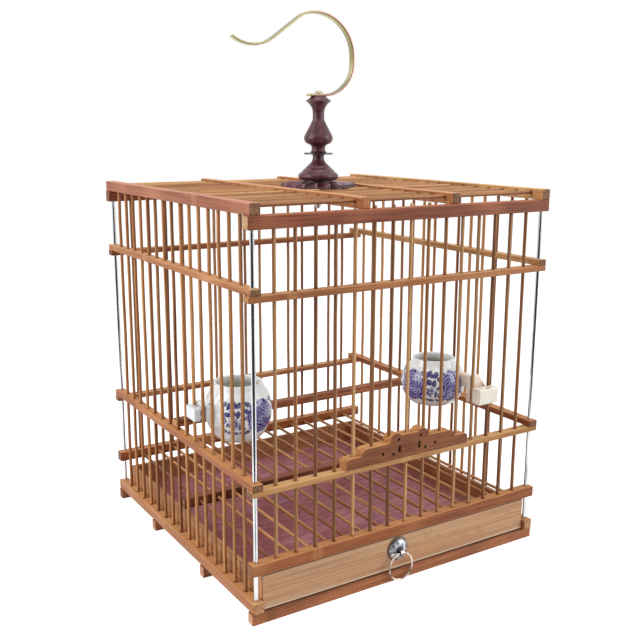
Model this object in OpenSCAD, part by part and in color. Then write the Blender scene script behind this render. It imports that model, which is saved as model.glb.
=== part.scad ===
// Square cage for a small songbird, in split bamboo with steel corner rods.
// X runs to the right, Y to the back and Z up. The origin is on the ground,
// midway between the four corner rods.

/* [Cage] */
// Distance from one upright bar to the next
bar_pitch = 15; // [13:0.5:18]
// Number of upright bars on each side
bar_count = 15; // [15:2:19]
// Thickness of a bamboo bar
bar_d = 2.5; // [2:0.1:3.5]
// Thickness of a corner rod
rod_d = 3; // [2:0.1:4]
// Depth of the blind holes that hold the bar ends
bar_seat = 3; // [2:0.1:3.2]
// Gap round a bar or rod that is glued in its hole
glue_gap = 0.03; // [0.02:0.01:0.05]
// How far the bars and rods stay clear below the face of the wood over them
end_cover = 1.2; // [1:0.1:2]

/* [Rails] */
// Width of the rails, seen from above
rail_w = 7.5; // [6.5:0.1:9]
// How far the rails reach past the middle of the corner rods
rail_over = 4.5; // [4:0.1:8]
// Rounding of the rails' long edges
rail_ease = 0.5; // [0.2:0.1:1]
// Height of the two side rails at the foot
foot_h = 7.5; // [6:0.1:10]
// Height of the sill rails over the drawer
sill_h = 7.9; // [7:0.1:10]
// Height of the low rails, front and back
low_front_h = 4; // [3.5:0.1:6]
// Height of the low rails at the sides
low_side_h = 4.8; // [3.5:0.1:6]
// Height of the high rails, front and back
high_front_h = 4.4; // [3.5:0.1:6]
// Height of the high rails at the sides
high_side_h = 4.4; // [3.5:0.1:6]
// Height of the top rails, front and back
top_h = 8.6; // [7:0.1:11]
// Height of the top side rails and the crossbars
cap_h = 7.6; // [7:0.1:10]

/* [Storeys] */
// Clear height of the slot for the drawer, over the side rails
drawer_slot = 19; // [16:0.5:26]
// Clear height from the sill to the low rails
low_window = 46.2; // [40:0.2:60]
// Clear height of the main storey
main_window = 115.9; // [105:0.1:140]
// Clear height of the storey under the roof
roof_window = 35.4; // [30:0.2:50]

/* [Base battens] */
// Height of a batten
batten_h = 8; // [6:0.1:12]
// Width of a batten
batten_w = 6.5; // [5:0.1:9]
// Rounding of its lower edges
batten_round = 2.4; // [1:0.1:2.4]
// Distance of the two inner battens from the middle
batten_inner_y = 45; // [30:1:60]

/* [Floor and roof] */
// Height of the floor bars over the underside of the sill
floor_bar_up = 3.5; // [2.5:0.1:4]
// Length of a floor bar held in the sill
floor_seat = 2; // [1:0.1:2.2]
// Height of the roof bars over the underside of the top side rails
roof_bar_up = 4.9; // [2:0.1:5.5]
// Width of a crossbar
crossbar_w = 6.5; // [5:0.1:8]
// How far a crossbar reaches past the middle of the corner rods
crossbar_over = 1.2; // [0:0.1:4]

/* [Lifting door] */
// Number of bars in the door
door_bars_n = 5; // [5:2:7]
// Thickness of the carved board, front to back
board_t = 8.5; // [6:0.1:10]
// Height of the board's two ends
board_end_h = 7.4; // [6:0.1:9]
// Height of its shoulders
board_shoulder_h = 12.2; // [10:0.1:14]
// Height of its middle
board_mid_h = 16.6; // [15:0.1:20]
// Distance of the two round humps from the middle
hump_x = 11.5; // [10:0.1:12]
// Radius of a hump
hump_r = 5.4; // [4.8:0.1:6]
// How far the humps stand over the flat middle
hump_up = 2; // [1:0.1:2.5]
// Rounding of the shoulders
shoulder_r = 5.5; // [4:0.1:6]
// Distance of the shoulders' rounding inside the guide bars
shoulder_in = 9.5; // [8:0.1:12]
// Rounding of the board's two ends
board_end_r = 2.5; // [1.5:0.1:3.5]
// How far the board reaches past its guide bars
board_past = 8; // [5:0.1:12]
// Diameter of the small bored eyes
eye_d = 1.7; // [1:0.1:2.2]
// Depth of the eyes, keyholes and nicks cut into its front
eye_depth = 2.4; // [0.5:0.1:2.5]
// Gap round the sliding bars and round the guide bars
slide_gap = 0.3; // [0.2:0.05:0.5]
// How far the door bars reach above the top rail
door_bar_proud = 2; // [0.5:0.1:4]
// Depth of the door bars in the board
door_bar_seat = 4; // [2:0.1:5]

/* [Drawer] */
// Gap between the drawer and the side rails
drawer_gap = 0.35; // [0.25:0.05:0.8]
// Gap under and over the drawer
drawer_lift = 0.3; // [0.2:0.05:0.6]
// Thickness of the drawer front
front_t = 5; // [3:0.1:7]
// Rounding of its long edges
front_ease = 0.4; // [0.2:0.1:1]
// How far the front stands ahead of the middle of the corner rods
front_ahead = 1.5; // [0:0.1:2.5]
// Thickness of the drawer sides and back
side_t = 3; // [2:0.1:4]
// Height of the drawer sides and back
side_h = 21; // [14:0.1:24]
// Thickness of the tray floor
tray_t = 2; // [1:0.1:3]
// Height of the tray floor over the bottom edge of the sides
tray_up = 1; // [0.5:0.1:2]
// Depth of the groove that holds the tray floor
groove = 1; // [0.5:0.1:1.5]

/* [Ring pull] */
// Place of the pull to the right of the middle of the front
pull_x = -6; // [-40:1:40]
// Height of the back plate's middle above the drawer's bottom edge
plate_up = 14.7; // [12:0.1:15]
// Diameter of the back plate
plate_d = 16; // [12:0.2:17]
// How far the back plate stands out
plate_t = 2.2; // [1.5:0.1:3]
// Distance of the eye below the back plate's middle
pull_eye_drop = 1.6; // [1:0.1:4]
// Diameter of the eye
pull_eye_d = 5; // [4.5:0.1:6]
// Width of the eye
pull_eye_w = 2.6; // [2:0.1:4]
// How far the eye is let into the back plate
eye_sunk = 0.8; // [0.4:0.1:1]
// Thickness of the eye's pin
pin_d = 2; // [1.5:0.1:2.4]
// Depth of the pin in the drawer front
pin_seat = 2.4; // [1.5:0.1:3]
// Height of the back plate's rim
plate_rim = 0.5; // [0.3:0.1:1]
// Diameter of the hole in the eye
pull_hole_d = 2.4; // [2.2:0.1:2.8]
// Thickness of the ring
ring_wire = 1.5; // [1:0.1:1.8]
// Diameter of the ring, middle to middle of the wire
ring_d = 20; // [12:0.1:20]

/* [Perch] */
// Width of the perch
perch_w = 7.5; // [5:0.1:9]
// Height of the perch
perch_h = 6; // [4:0.1:9]
// Rounding of its edges
perch_ease = 1.2; // [0.5:0.1:2]

/* [Feeding cups] */
// Wall of the cups
cup_wall = 2.2; // [1.5:0.1:3]
// Largest diameter of the left cup
cup_left_d = 48.4; // [40:0.2:50]
// Diameter of its mouth
cup_left_mouth = 35.6; // [28:0.2:38]
// Diameter of its foot
cup_left_foot = 30; // [24:0.2:34]
// Height of the left cup
cup_left_h = 41.9; // [34:0.1:46]
// Height of its widest place over its foot
cup_left_belly = 21; // [16:0.1:24]
// Height of its foot over the top of the low side rail
cup_left_up = 0.3; // [0.2:0.1:8]
// Largest diameter of the right cup
cup_right_d = 47.2; // [40:0.2:50]
// Diameter of its mouth
cup_right_mouth = 31.4; // [28:0.2:38]
// Diameter of its foot
cup_right_foot = 29; // [24:0.2:34]
// Height of the right cup
cup_right_h = 34.4; // [32:0.1:42]
// Height of its widest place over its foot
cup_right_belly = 15; // [13:0.1:19]
// Height of its foot over the top of the low side rail
cup_right_up = 18.6; // [14:0.1:24]
// Length of the left cup's arm from its belly to the flange
cup_left_arm = 1.4; // [0.6:0.1:12]
// Distance between the right cup's belly and its flange, square to the wall
cup_right_arm = 1.4; // [0.6:0.1:12]
// How far the right cup hangs to the left of its lock
cup_right_aside = 19.5; // [12:0.1:21]
// Thickness of an arm
arm_t = 6; // [4:0.1:8]
// Height of the left flange's middle over the belly of its cup
flange_left_up = 2.8; // [0:0.1:4]
// Depth of the right peg's middle below the belly of its cup
peg_right_down = 4.5; // [3:0.1:7]
// How far the left arm leaves its bowl below the flange's middle
root_left_deep = 13; // [10:0.1:15]
// Distance of the left arm's upper edge below the rim
root_left_drop = 6; // [5:0.1:9]
// Height of the right arm's lower edge over the belly where it leaves the bowl
root_right_up = 2; // [1:0.1:4]
// Distance of the right arm's upper edge below the rim
root_right_drop = 8.4; // [7:0.1:10]
// Width of the flange against the inside of the bars
flange_w = 18; // [15:0.1:20]
// Height of the flange
flange_h = 12; // [8:0.1:14]
// Height of the right flange's upper edge over its peg
flange_right_top = 14; // [12:0.1:16]
// Thickness of the flange
flange_t = 4; // [3:0.1:6]
// Width of the peg that passes between two bars
peg_w = 8; // [6:0.1:9]
// Height of the peg
peg_h = 5; // [4:0.1:6]
// Gap between the flange or the lock and the bars
cup_gap = 0.3; // [0.25:0.05:0.8]
// Gap round the peg in its lock
peg_gap = 0.25; // [0.2:0.05:0.4]
// Width of the left lock
lock_left_w = 14.5; // [13.5:0.1:18]
// Height of the left lock
lock_left_h = 9.5; // [8:0.1:14]
// Thickness of the left lock
lock_left_t = 5; // [4.5:0.1:9]
// Width of the right lock
lock_right_w = 18.5; // [13.5:0.1:20]
// Height of the right lock
lock_right_h = 11.5; // [8:0.1:14]
// Thickness of the right lock
lock_right_t = 8.2; // [4.5:0.1:10]
// Thickness of a lock's closed outer face
lock_skin = 1.5; // [1:0.1:2]

/* [Finial] */
// Distance of the finial to the right of the roof's middle
finial_x = 2.2; // [-3:0.1:4]
// Radius of the rosette
rosette_r = 29; // [25:0.2:29.6]
// Thickness of the rosette
rosette_t = 3.6; // [3:0.1:4.5]
// Rounding of its upper edge
rosette_round = 2.4; // [1:0.1:2.6]
// Number of petals
petals = 16; // [12:1:24]
// Radius of the rounded end of a petal
petal_r = 5; // [3.5:0.1:5.2]
// Radius of the metal washer
washer_r = 11; // [7:0.1:13]
// Thickness of the metal washer
washer_t = 1.4; // [1:0.1:3]
// Radius of the lower turned cone
cone_r = 15.5; // [12:0.1:18]
// Height of the lower turned cone
cone_h = 19.5; // [17:0.1:24]
// Radius of its neck
cone_neck_r = 4.3; // [3.5:0.1:6]
// Rounding of its belly
cone_round = 3; // [2:0.1:3.5]
// Radius of the hollow under its neck
cone_hollow = 6; // [4:0.5:8]
// Radius of the thin disc
disc_r = 11; // [9:0.1:14]
// Thickness of the thin disc
disc_t = 1.2; // [0.8:0.1:2]
// Radius of the bulge of the upper turned piece
bulge_r = 11.1; // [9:0.1:13]
// Rounding of the bulge
bulge_round = 4.6; // [3:0.1:5]
// Height of the bulge over the disc
bulge_up = 10.9; // [10.5:0.1:13]
// Radius of the short neck below the bulge
low_neck_r = 5.3; // [4:0.1:6]
// Height of the slope over the bulge
slope_top = 24.2; // [21:0.1:26]
// Radius of the long neck
neck_r = 4.4; // [3.5:0.1:5.5]
// Radius of the flare over the neck
flare_r = 10; // [8:0.5:12]
// Radius of the sharp rim
rim_r = 9.6; // [7:0.1:11]
// Distance of the rim below the top
rim_drop = 3.8; // [3:0.1:5]
// Radius of the flat top
crown_flat_r = 6; // [5:0.1:7]
// Height of the upper turned piece
upper_h = 42; // [38:0.1:48]

/* [Hook] */
// Width of the strap
strap_w = 7; // [6:0.1:9]
// Thickness of the strap
strap_t = 1.8; // [1:0.1:2]
// Turn of the hook about the upright
hook_turn = -10; // [-180:1:180]
// Distance from the screw to the end of the flat foot
strap_heel = 8.5; // [6:0.1:10]
// Distance from the screw to the start of the first bend
strap_toe = 4; // [4:0.1:8]
// Radius of the first bend
bend_r = 23.5; // [20:0.1:28]
// Length of the upright stretch
strap_rise = 5; // [2:0.1:12]
// Radius of the big bend
crook_r = 31; // [28:0.1:34]
// Radius of the tighter bend at the crown
crown_r = 20; // [14:0.1:26]
// Length of the sloping stretch
strap_run = 25; // [14:0.1:28]
// Radius of the turned-up tip
tip_r = 26; // [20:0.1:32]
// Diameter of the through screw
screw_d = 3; // [2.5:0.1:4]
// Gap round the screw in the pieces it passes through
screw_gap = 0.1; // [0.05:0.05:0.3]
// Radius of the screw's head
head_r = 3.1; // [2.5:0.1:5]
// Height of the screw's head
head_h = 2.3; // [1.5:0.1:3]
// Width of its slot
slot_w = 0.9; // [0.6:0.1:1.2]
// Depth of its slot
slot_deep = 0.9; // [0.5:0.1:1.2]
// Width of the plate under the roof bars
plate_under = 24; // [20:0.2:30]
// Thickness of that plate
under_t = 3; // [2:0.1:4]
// Radius of the cap nut
nut_r = 4.6; // [4:0.1:6]
// Height of the cap nut
nut_h = 11; // [8:0.1:14]
// Height of its six flats
nut_flat = 5.5; // [4:0.1:6]
// Depth of the screw in the cap nut
nut_bore = 6.6; // [5:0.1:7]

/* [Hidden] */

$fn = 48;
bit = 0.02;               // overshoot of a cut past a face
half = bar_pitch * (bar_count + 1) / 2;     // middle of a corner rod from the centre
mid_i = (bar_count + 1) / 2;                // number of the middle bar
door_side = (door_bars_n - 1) / 2;          // bars of the door on each side of the middle one
guide_x = (door_side + 1) * bar_pitch;      // the two fixed bars that guide the board
crossbar_x = (door_side + 0.5) * bar_pitch;
rail_len = 2 * (half + rail_over);
inner = half - rail_w / 2;                  // inner face of a rail

// storeys, from the ground up
z_foot = batten_h;
z_slot = z_foot + foot_h;
z_sill = z_slot + drawer_slot;
z_low = z_sill + sill_h + low_window;
z_low_side = z_low + low_front_h;
z_deck = z_low_side + low_side_h;
z_high = z_deck + main_window;
z_high_side = z_high + high_front_h;
z_top = z_high_side + high_side_h + roof_window;
z_cap = z_top + top_h;
z_crown = z_cap + cap_h;
z_floor_bar = z_sill + floor_bar_up;
z_roof_bar = z_cap + roof_bar_up;

hole_d = bar_d + 2 * glue_gap;
slide_d = bar_d + 2 * slide_gap;

// bar numbers
all_i = [1 : bar_count];
door_i = [mid_i - door_side : mid_i + door_side];
left_i = [1 : mid_i - door_side - 1];
right_i = [mid_i + door_side + 1 : bar_count];
function at(i) = (i - mid_i) * bar_pitch;
function roof_y(i) = (i - mid_i + 0.5) * bar_pitch;
roof_i = [0 : bar_count];

module upright(x, y, z0, z1, d) translate([x, y, z0]) cylinder(h = z1 - z0, d = d);

// section with four rounded corners, standing on y = 0
module eased(w, h, r) {
    translate([-w / 2 + r, 0]) square([w - 2 * r, h]);
    translate([-w / 2, r]) square([w, h - 2 * r]);
    for (x = [-1, 1])
        for (y = [r, h - r])
            translate([x * (w / 2 - r), y]) circle(r);
}

module along_x(len) rotate([90, 0, 90]) translate([0, 0, -len / 2]) linear_extrude(len) children();
module along_y(len) rotate([90, 0, 0]) translate([0, 0, -len / 2]) linear_extrude(len) children();

module rail_x(y, z, h) translate([0, y, z]) along_x(rail_len) eased(rail_w, h, rail_ease);
module rail_y(x, z, h) translate([x, 0, z]) along_y(rail_len) eased(rail_w, h, rail_ease);

module rod_holes() for (x = [-half, half], y = [-half, half])
    upright(x, y, end_cover, z_crown - end_cover, rod_d + 2 * glue_gap);

module holes_x(y, z0, z1, numbers, d) for (i = numbers) upright(at(i), y, z0, z1, d);
module holes_y(x, z0, z1, numbers, d) for (i = numbers) upright(x, at(i), z0, z1, d);

// base

module batten(y) color([0.62, 0.40, 0.26]) difference() {
    translate([0, y, 0]) along_x(rail_len) union() {
        translate([-batten_w / 2, batten_round]) square([batten_w, batten_h - batten_round]);
        translate([-batten_w / 2 + batten_round, 0])
            square([batten_w - 2 * batten_round, batten_round + bit]);
        for (x = [-1, 1]) translate([x * (batten_w / 2 - batten_round), batten_round]) circle(batten_round);
    }
    rod_holes();
}
module base_batten_front() batten(-half);
module base_batten_mid_front() batten(-batten_inner_y);
module base_batten_mid_back() batten(batten_inner_y);
module base_batten_back() batten(half);

module foot(x) color([0.78, 0.50, 0.28]) difference() {
    rail_y(x, z_foot, foot_h);
    rod_holes();
    holes_y(x, z_slot - bar_seat, z_slot + bit, all_i, hole_d);
}
module rail_foot_left() foot(-half);
module rail_foot_right() foot(half);

module floor_holes() for (i = all_i)
    translate([at(i), 0, z_floor_bar]) rotate([90, 0, 0])
        cylinder(h = 2 * (inner + floor_seat), d = hole_d, center = true);

module sill(y) color([0.66, 0.38, 0.22]) difference() {
    rail_x(y, z_sill, sill_h);
    rod_holes();
    holes_x(y, z_sill + sill_h - bar_seat, z_sill + sill_h + bit, all_i, hole_d);
    floor_holes();
}
module rail_sill_front() sill(-half);
module rail_sill_back() sill(half);

module rail_floor_mid() color([0.45, 0.24, 0.16]) difference() {
    translate([0, 0, z_sill]) along_x(2 * (half - bar_d / 2 - slide_gap)) eased(rail_w, sill_h, rail_ease);
    floor_holes();
}

// low and high rails

module rail_low_front() color([0.82, 0.58, 0.34]) difference() {
    rail_x(-half, z_low, low_front_h);
    rod_holes();
    holes_x(-half, z_low - bit, z_low + bar_seat, door_i, hole_d);
    for (side = [left_i, right_i]) holes_x(-half, z_low - bit, z_deck, side, hole_d);
}
module rail_low_back() color([0.75, 0.50, 0.30]) difference() {
    rail_x(half, z_low, low_front_h);
    rod_holes();
    holes_x(half, z_low - bit, z_deck, all_i, hole_d);
}
module low_side(x) color([0.72, 0.50, 0.30]) difference() {
    rail_y(x, z_low_side, low_side_h);
    rod_holes();
    holes_y(x, z_low, z_deck + bit, all_i, hole_d);
}
module rail_low_left() low_side(-half);
module rail_low_right() low_side(half);

module rail_high_front() color([0.76, 0.50, 0.30]) difference() {
    rail_x(-half, z_high, high_front_h);
    rod_holes();
    holes_x(-half, z_high - bit, z_high_side + bit, door_i, slide_d);
    for (side = [left_i, right_i]) holes_x(-half, z_high - bit, z_high_side + bit, side, hole_d);
}
module rail_high_back() color([0.72, 0.46, 0.28]) difference() {
    rail_x(half, z_high, high_front_h);
    rod_holes();
    holes_x(half, z_high - bit, z_high_side + bit, all_i, hole_d);
}
module high_side(x) color([0.70, 0.46, 0.28]) difference() {
    rail_y(x, z_high_side, high_side_h);
    rod_holes();
    holes_y(x, z_high, z_high_side + high_side_h + bit, all_i, hole_d);
}
module rail_high_left() high_side(-half);
module rail_high_right() high_side(half);

// roof

module rail_top_front() color([0.50, 0.26, 0.18]) difference() {
    rail_x(-half, z_top, top_h);
    rod_holes();
    holes_x(-half, z_top - bit, z_cap + bit, door_i, slide_d);
    for (side = [left_i, right_i]) holes_x(-half, z_top - bit, z_top + bar_seat, side, hole_d);
}
module rail_top_back() color([0.62, 0.36, 0.22]) difference() {
    rail_x(half, z_top, top_h);
    rod_holes();
    holes_x(half, z_top - bit, z_top + bar_seat, all_i, hole_d);
}

module roof_holes(reach) for (i = roof_i)
    translate([0, roof_y(i), z_roof_bar]) rotate([0, 90, 0])
        cylinder(h = 2 * reach, d = hole_d, center = true);

module cap(x) color([0.70, 0.44, 0.32]) difference() {
    rail_y(x, z_cap, cap_h);
    rod_holes();
    holes_y(x, z_cap - bit, z_cap + bar_seat, all_i, hole_d);
    roof_holes(inner + bar_seat);
}
module rail_cap_left() cap(-half);
module rail_cap_right() cap(half);

module crossbar(x) color([0.76, 0.46, 0.28]) difference() {
    translate([x, 0, z_cap]) along_y(2 * (half + crossbar_over)) eased(crossbar_w, cap_h, rail_ease);
    roof_holes(inner);
}
module crossbar_left() crossbar(-crossbar_x);
module crossbar_right() crossbar(crossbar_x);

// bars and rods

module side_bars(x) color([0.70, 0.46, 0.24])
    for (i = all_i) upright(x, at(i), z_slot - bar_seat, z_cap + bar_seat, bar_d);
module bars_left() side_bars(-half);
module bars_right() side_bars(half);

module wall_bars(y, numbers) color([0.72, 0.48, 0.26])
    for (i = numbers) upright(at(i), y, z_sill + sill_h - bar_seat, z_top + bar_seat, bar_d);
module bars_back() wall_bars(half, all_i);
module bars_front_left() wall_bars(-half, left_i);
module bars_front_right() wall_bars(-half, right_i);
module bars_front_low() color([0.68, 0.44, 0.22])
    for (i = door_i) upright(at(i), -half, z_sill + sill_h - bar_seat, z_low + bar_seat, bar_d);

module bars_roof() color([0.76, 0.52, 0.32])
    for (i = roof_i)
        translate([0, roof_y(i), z_roof_bar]) rotate([0, 90, 0])
            cylinder(h = 2 * (inner + bar_seat), d = bar_d, center = true);
module bars_floor() color([0.66, 0.42, 0.24])
    for (i = all_i)
        translate([at(i), 0, z_floor_bar]) rotate([90, 0, 0])
            cylinder(h = 2 * (inner + floor_seat), d = bar_d, center = true);

module corner_rods() color([0.80, 0.82, 0.84])
    for (x = [-half, half], y = [-half, half])
        upright(x, y, end_cover, z_crown - end_cover, rod_d);

// lifting door

board_half = guide_x + board_past;
shoulder_x = guide_x - shoulder_in;
flat_x = hump_x - 1;                 // half width of the flat between the humps

// eyes: distance from the middle, height and diameter of each pair
eyes = [[9.5, 14, eye_d], [14, 4.3, eye_d], [22.9, 5.9, eye_d]];
nick_x = [2.6, shoulder_x + 1.3];
keyhole_at = [8.6, 6.8];
keyhole_foot = 1.9;                  // half width of its flared foot
keyhole_waist = 0.7;
keyhole_up = 1.8;                    // height of its round head over its middle

module board_outline() {
    translate([-board_half, 0]) square([2 * board_half, board_end_h - board_end_r]);
    translate([board_end_r - board_half, 0]) square([2 * (board_half - board_end_r), board_end_h]);
    for (x = [-1, 1])
        translate([x * (board_half - board_end_r), board_end_h - board_end_r]) circle(board_end_r);
    translate([-shoulder_x, 0]) square([2 * shoulder_x, board_shoulder_h]);
    for (x = [-1, 1]) translate([x * shoulder_x, board_shoulder_h - shoulder_r]) circle(shoulder_r);
    translate([-flat_x, 0]) square([2 * flat_x, board_mid_h]);
    for (x = [-1, 1]) translate([x * hump_x, board_mid_h + hump_up - hump_r]) circle(hump_r);
}

module keyhole() {
    translate([0, keyhole_up]) circle(d = eye_d, $fn = 24);
    polygon([[-keyhole_foot, -keyhole_up], [keyhole_foot, -keyhole_up],
             [keyhole_waist, keyhole_up], [-keyhole_waist, keyhole_up]]);
}

module door_board() color([0.55, 0.32, 0.22]) difference() {
    translate([0, -half, z_low_side]) along_y(board_t) board_outline();
    holes_x(-half, z_low_side + door_bar_seat, z_high, door_i, hole_d);
    for (x = [-guide_x, guide_x]) upright(x, -half, z_low, z_high, slide_d);
    translate([0, -half - board_t / 2 + eye_depth, z_low_side]) rotate([90, 0, 0])
        linear_extrude(eye_depth + bit) for (x = [-1, 1]) {
            for (e = eyes) translate([x * e[0], e[1]]) circle(d = e[2], $fn = 24);
            translate([x * keyhole_at[0], keyhole_at[1]]) keyhole();
            for (n = nick_x) translate([x * n, 0]) circle(d = eye_d, $fn = 24);
        }
}

module door_bars() color([0.70, 0.44, 0.24])
    for (i = door_i) upright(at(i), -half, z_low_side + door_bar_seat, z_cap + door_bar_proud, bar_d);

// perch, lying on the low side rails between the middle bar and the next one

module perch() color([0.42, 0.24, 0.16])
    translate([0, bar_pitch / 2, z_deck]) along_x(2 * half) eased(perch_w, perch_h, perch_ease);

// feeding cups

function arc(cx, cy, r, a0, a1, n) = [for (i = [0 : n]) let (a = a0 + (a1 - a0) * i / n)
    [cx + r * cos(a), cy + r * sin(a)]];
// radius of the circle through the belly and a point that lies dx inside it and dz away from it
function swell(dx, dz) = (dx * dx + dz * dz) / (2 * dx);
function flank(rb, zb, dx, dz, up, n) = let (r = swell(dx, abs(dz)), a = asin(abs(dz) / r))
    up ? arc(rb - r, zb, r, 0, a, n) : arc(rb - r, zb, r, -a, 0, n);
function cup_side(belly, mouth, foot, h, zb, wall) = concat(
    flank(belly / 2 - wall, zb, (belly - foot) / 2, zb - wall, false, 8),
    flank(belly / 2 - wall, zb, (belly - mouth) / 2, h - zb, true, 8));

module cup_bowl(belly, mouth, foot, h, zb) rotate_extrude($fn = 72) difference() {
    polygon(concat([[0, 0]], cup_side(belly, mouth, foot, h, zb, 0), [[0, h]]));
    polygon(concat([[0, cup_wall]], cup_side(belly, mouth, foot, h, zb, cup_wall), [[0, h]]));
    translate([0, h - bit]) square([mouth / 2 - cup_wall, 1]);
}
sunk = 1;                            // depth by which joined forms of one piece run into each other
// solid outer shape, to trim an arm where it enters the bowl
module cup_core(belly, mouth, foot, h, zb) rotate_extrude($fn = 72)
    polygon(concat([[0, cup_wall]], cup_side(belly, mouth, foot, h, zb, cup_wall), [[0, h]]));

// arm, flange and peg, running along +X from a cup wall to the bars;
// root holds the heights of the arm's lower and upper edge where it leaves the bowl
module cup_arm(reach, start, z_arm, root, peg_l) {
    face = reach - flange_t;
    edge = flange_h / 2 - sunk;
    translate([0, arm_t / 2, 0]) rotate([90, 0, 0]) linear_extrude(arm_t)
        polygon([[start, root[0]], [face + sunk, z_arm - edge], [face + sunk, z_arm + edge], [start, root[1]]]);
    translate([face, -flange_w / 2, z_arm - flange_h / 2]) cube([flange_t, flange_w, flange_h]);
    translate([reach - sunk, -peg_w / 2, z_arm - peg_h / 2]) cube([sunk + peg_l, peg_w, peg_h]);
}
module lock(w, h, t) difference() {
    translate([0, -w / 2, -h / 2]) cube([t, w, h]);
    translate([-sunk, -peg_w / 2 - peg_gap, -peg_h / 2 - peg_gap])
        cube([sunk + t - lock_skin, peg_w + 2 * peg_gap, peg_h + 2 * peg_gap]);
}
bar_face = bar_d / 2 + cup_gap;      // flange or lock face from the middle of the bars
function peg_reach(t) = 2 * bar_face + t - lock_skin - peg_gap;

gap_y = -2.5 * bar_pitch;            // the gap in the left wall that holds the left cup
gap_x = 4.5 * bar_pitch;             // the gap in the front wall that holds the right cup's peg
cup_left_x = -half + bar_face + flange_t + cup_left_arm + cup_left_d / 2;
cup_right_y = -half + bar_face + flange_t + cup_right_arm + cup_right_d / 2;
z_cup_left = z_deck + cup_left_up;
z_cup_right = z_deck + cup_right_up;
// heights over the cups' feet: of the flanges, and of the arms' edges where they leave the bowls
arm_left_z = cup_left_belly + flange_left_up;
arm_right_z = cup_right_belly - peg_right_down;
root_left = [arm_left_z - root_left_deep, cup_left_h - root_left_drop];
root_right = [cup_right_belly + root_right_up, cup_right_h - root_right_drop];

module cup_left() color([0.88, 0.87, 0.84]) translate([cup_left_x, gap_y, z_cup_left]) {
    cup_bowl(cup_left_d, cup_left_mouth, cup_left_foot, cup_left_h, cup_left_belly);
    difference() {
        rotate([0, 0, 180])
            cup_arm(half + cup_left_x - bar_face, cup_left_foot / 2, arm_left_z, root_left,
                    peg_reach(lock_left_t));
        cup_core(cup_left_d, cup_left_mouth, cup_left_foot, cup_left_h, cup_left_belly);
    }
}
// The right cup hangs beside its lock: its arm slants to the upper corner of a tall flange,
// and the peg stands low on that flange. Here +X runs to the wall and +Y to the lock's side.
module cup_arm_right() {
    reach = half + cup_right_y - bar_face;
    face = reach - flange_t;
    to = [face + flange_t / 2, cup_right_aside - flange_w / 5];
    tip = [arm_right_z + flange_h / 6, arm_right_z + flange_right_top - sunk];
    rotate([0, 0, atan2(to[1], to[0])]) translate([0, arm_t / 2, 0]) rotate([90, 0, 0])
        linear_extrude(arm_t)
            polygon([[cup_right_foot / 2, root_right[0]], [norm(to), tip[0]], [norm(to), tip[1]],
                     [cup_right_foot / 2, root_right[1]]]);
    translate([face, cup_right_aside, arm_right_z]) rotate([90, 0, 90]) linear_extrude(flange_t)
        polygon([[-flange_w / 2, -flange_h / 2], [flange_w / 2, -flange_h / 2],
                 [flange_w / 2, flange_h / 6], [0, flange_right_top], [-flange_w / 2, flange_right_top]]);
    translate([reach - sunk, cup_right_aside - peg_w / 2, arm_right_z - peg_h / 2])
        cube([sunk + peg_reach(lock_right_t), peg_w, peg_h]);
}
module cup_right() color([0.88, 0.87, 0.84])
    translate([gap_x - cup_right_aside, cup_right_y, z_cup_right]) {
        cup_bowl(cup_right_d, cup_right_mouth, cup_right_foot, cup_right_h, cup_right_belly);
        difference() {
            rotate([0, 0, -90]) cup_arm_right();
            cup_core(cup_right_d, cup_right_mouth, cup_right_foot, cup_right_h, cup_right_belly);
        }
    }
module cup_lock_left() color([0.78, 0.84, 0.88])
    translate([-half - bar_face, gap_y, z_cup_left + arm_left_z]) rotate([0, 0, 180])
        lock(lock_left_w, lock_left_h, lock_left_t);
module cup_lock_right() color([0.92, 0.88, 0.80])
    translate([gap_x, -half - bar_face, z_cup_right + arm_right_z]) rotate([0, 0, -90])
        lock(lock_right_w, lock_right_h, lock_right_t);

// drawer

drawer_half = inner - drawer_gap;
drawer_z = z_foot + drawer_lift;
drawer_front_h = z_sill - drawer_lift - drawer_z;
front_y = -half - front_ahead;
side_y0 = front_y + front_t;
drawer_end = half - batten_w / 2 - 1;
tray_z = drawer_z + tray_up;

module tray_space(grow) translate([-(drawer_half - side_t + groove - grow), side_y0 - groove + grow, tray_z])
    cube([2 * (drawer_half - side_t + groove - grow),
          drawer_end - side_t - side_y0 + 2 * groove - 2 * grow, tray_t]);

module drawer_front() color([0.76, 0.60, 0.44]) difference() {
    translate([0, front_y + front_t / 2, drawer_z]) along_x(2 * drawer_half)
        eased(front_t, drawer_front_h, front_ease);
    tray_space(0);
    translate([pull_x, front_y + pin_seat + glue_gap, pull_eye_z]) rotate([90, 0, 0])
        cylinder(h = pin_seat + 1, d = pin_d + 2 * glue_gap);
}
module drawer_side(x) color([0.70, 0.50, 0.34]) difference() {
    translate([x - side_t / 2, side_y0, drawer_z]) cube([side_t, drawer_end - side_y0, side_h]);
    tray_space(0);
}
module drawer_left() drawer_side(-drawer_half + side_t / 2);
module drawer_right() drawer_side(drawer_half - side_t / 2);
module drawer_back() color([0.68, 0.46, 0.32]) difference() {
    translate([-drawer_half + side_t, drawer_end - side_t, drawer_z])
        cube([2 * (drawer_half - side_t), side_t, side_h]);
    tray_space(0);
}
module drawer_tray() color([0.54, 0.36, 0.44]) tray_space(glue_gap);

// ring pull

plate_z = drawer_z + plate_up;
pull_eye_z = plate_z - pull_eye_drop;
eye_y = front_y - plate_t - pull_eye_d / 2 + eye_sunk;
ring_slack = 0.2;                    // gap between the ring and the eye it hangs in
ring_z = pull_eye_z - (pull_hole_d - ring_wire) / 2 + ring_slack;

module eye_disc(grow) translate([pull_x, eye_y, pull_eye_z]) rotate([0, 90, 0])
    cylinder(h = pull_eye_w + 2 * grow, d = pull_eye_d + 2 * grow, center = true);

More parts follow.
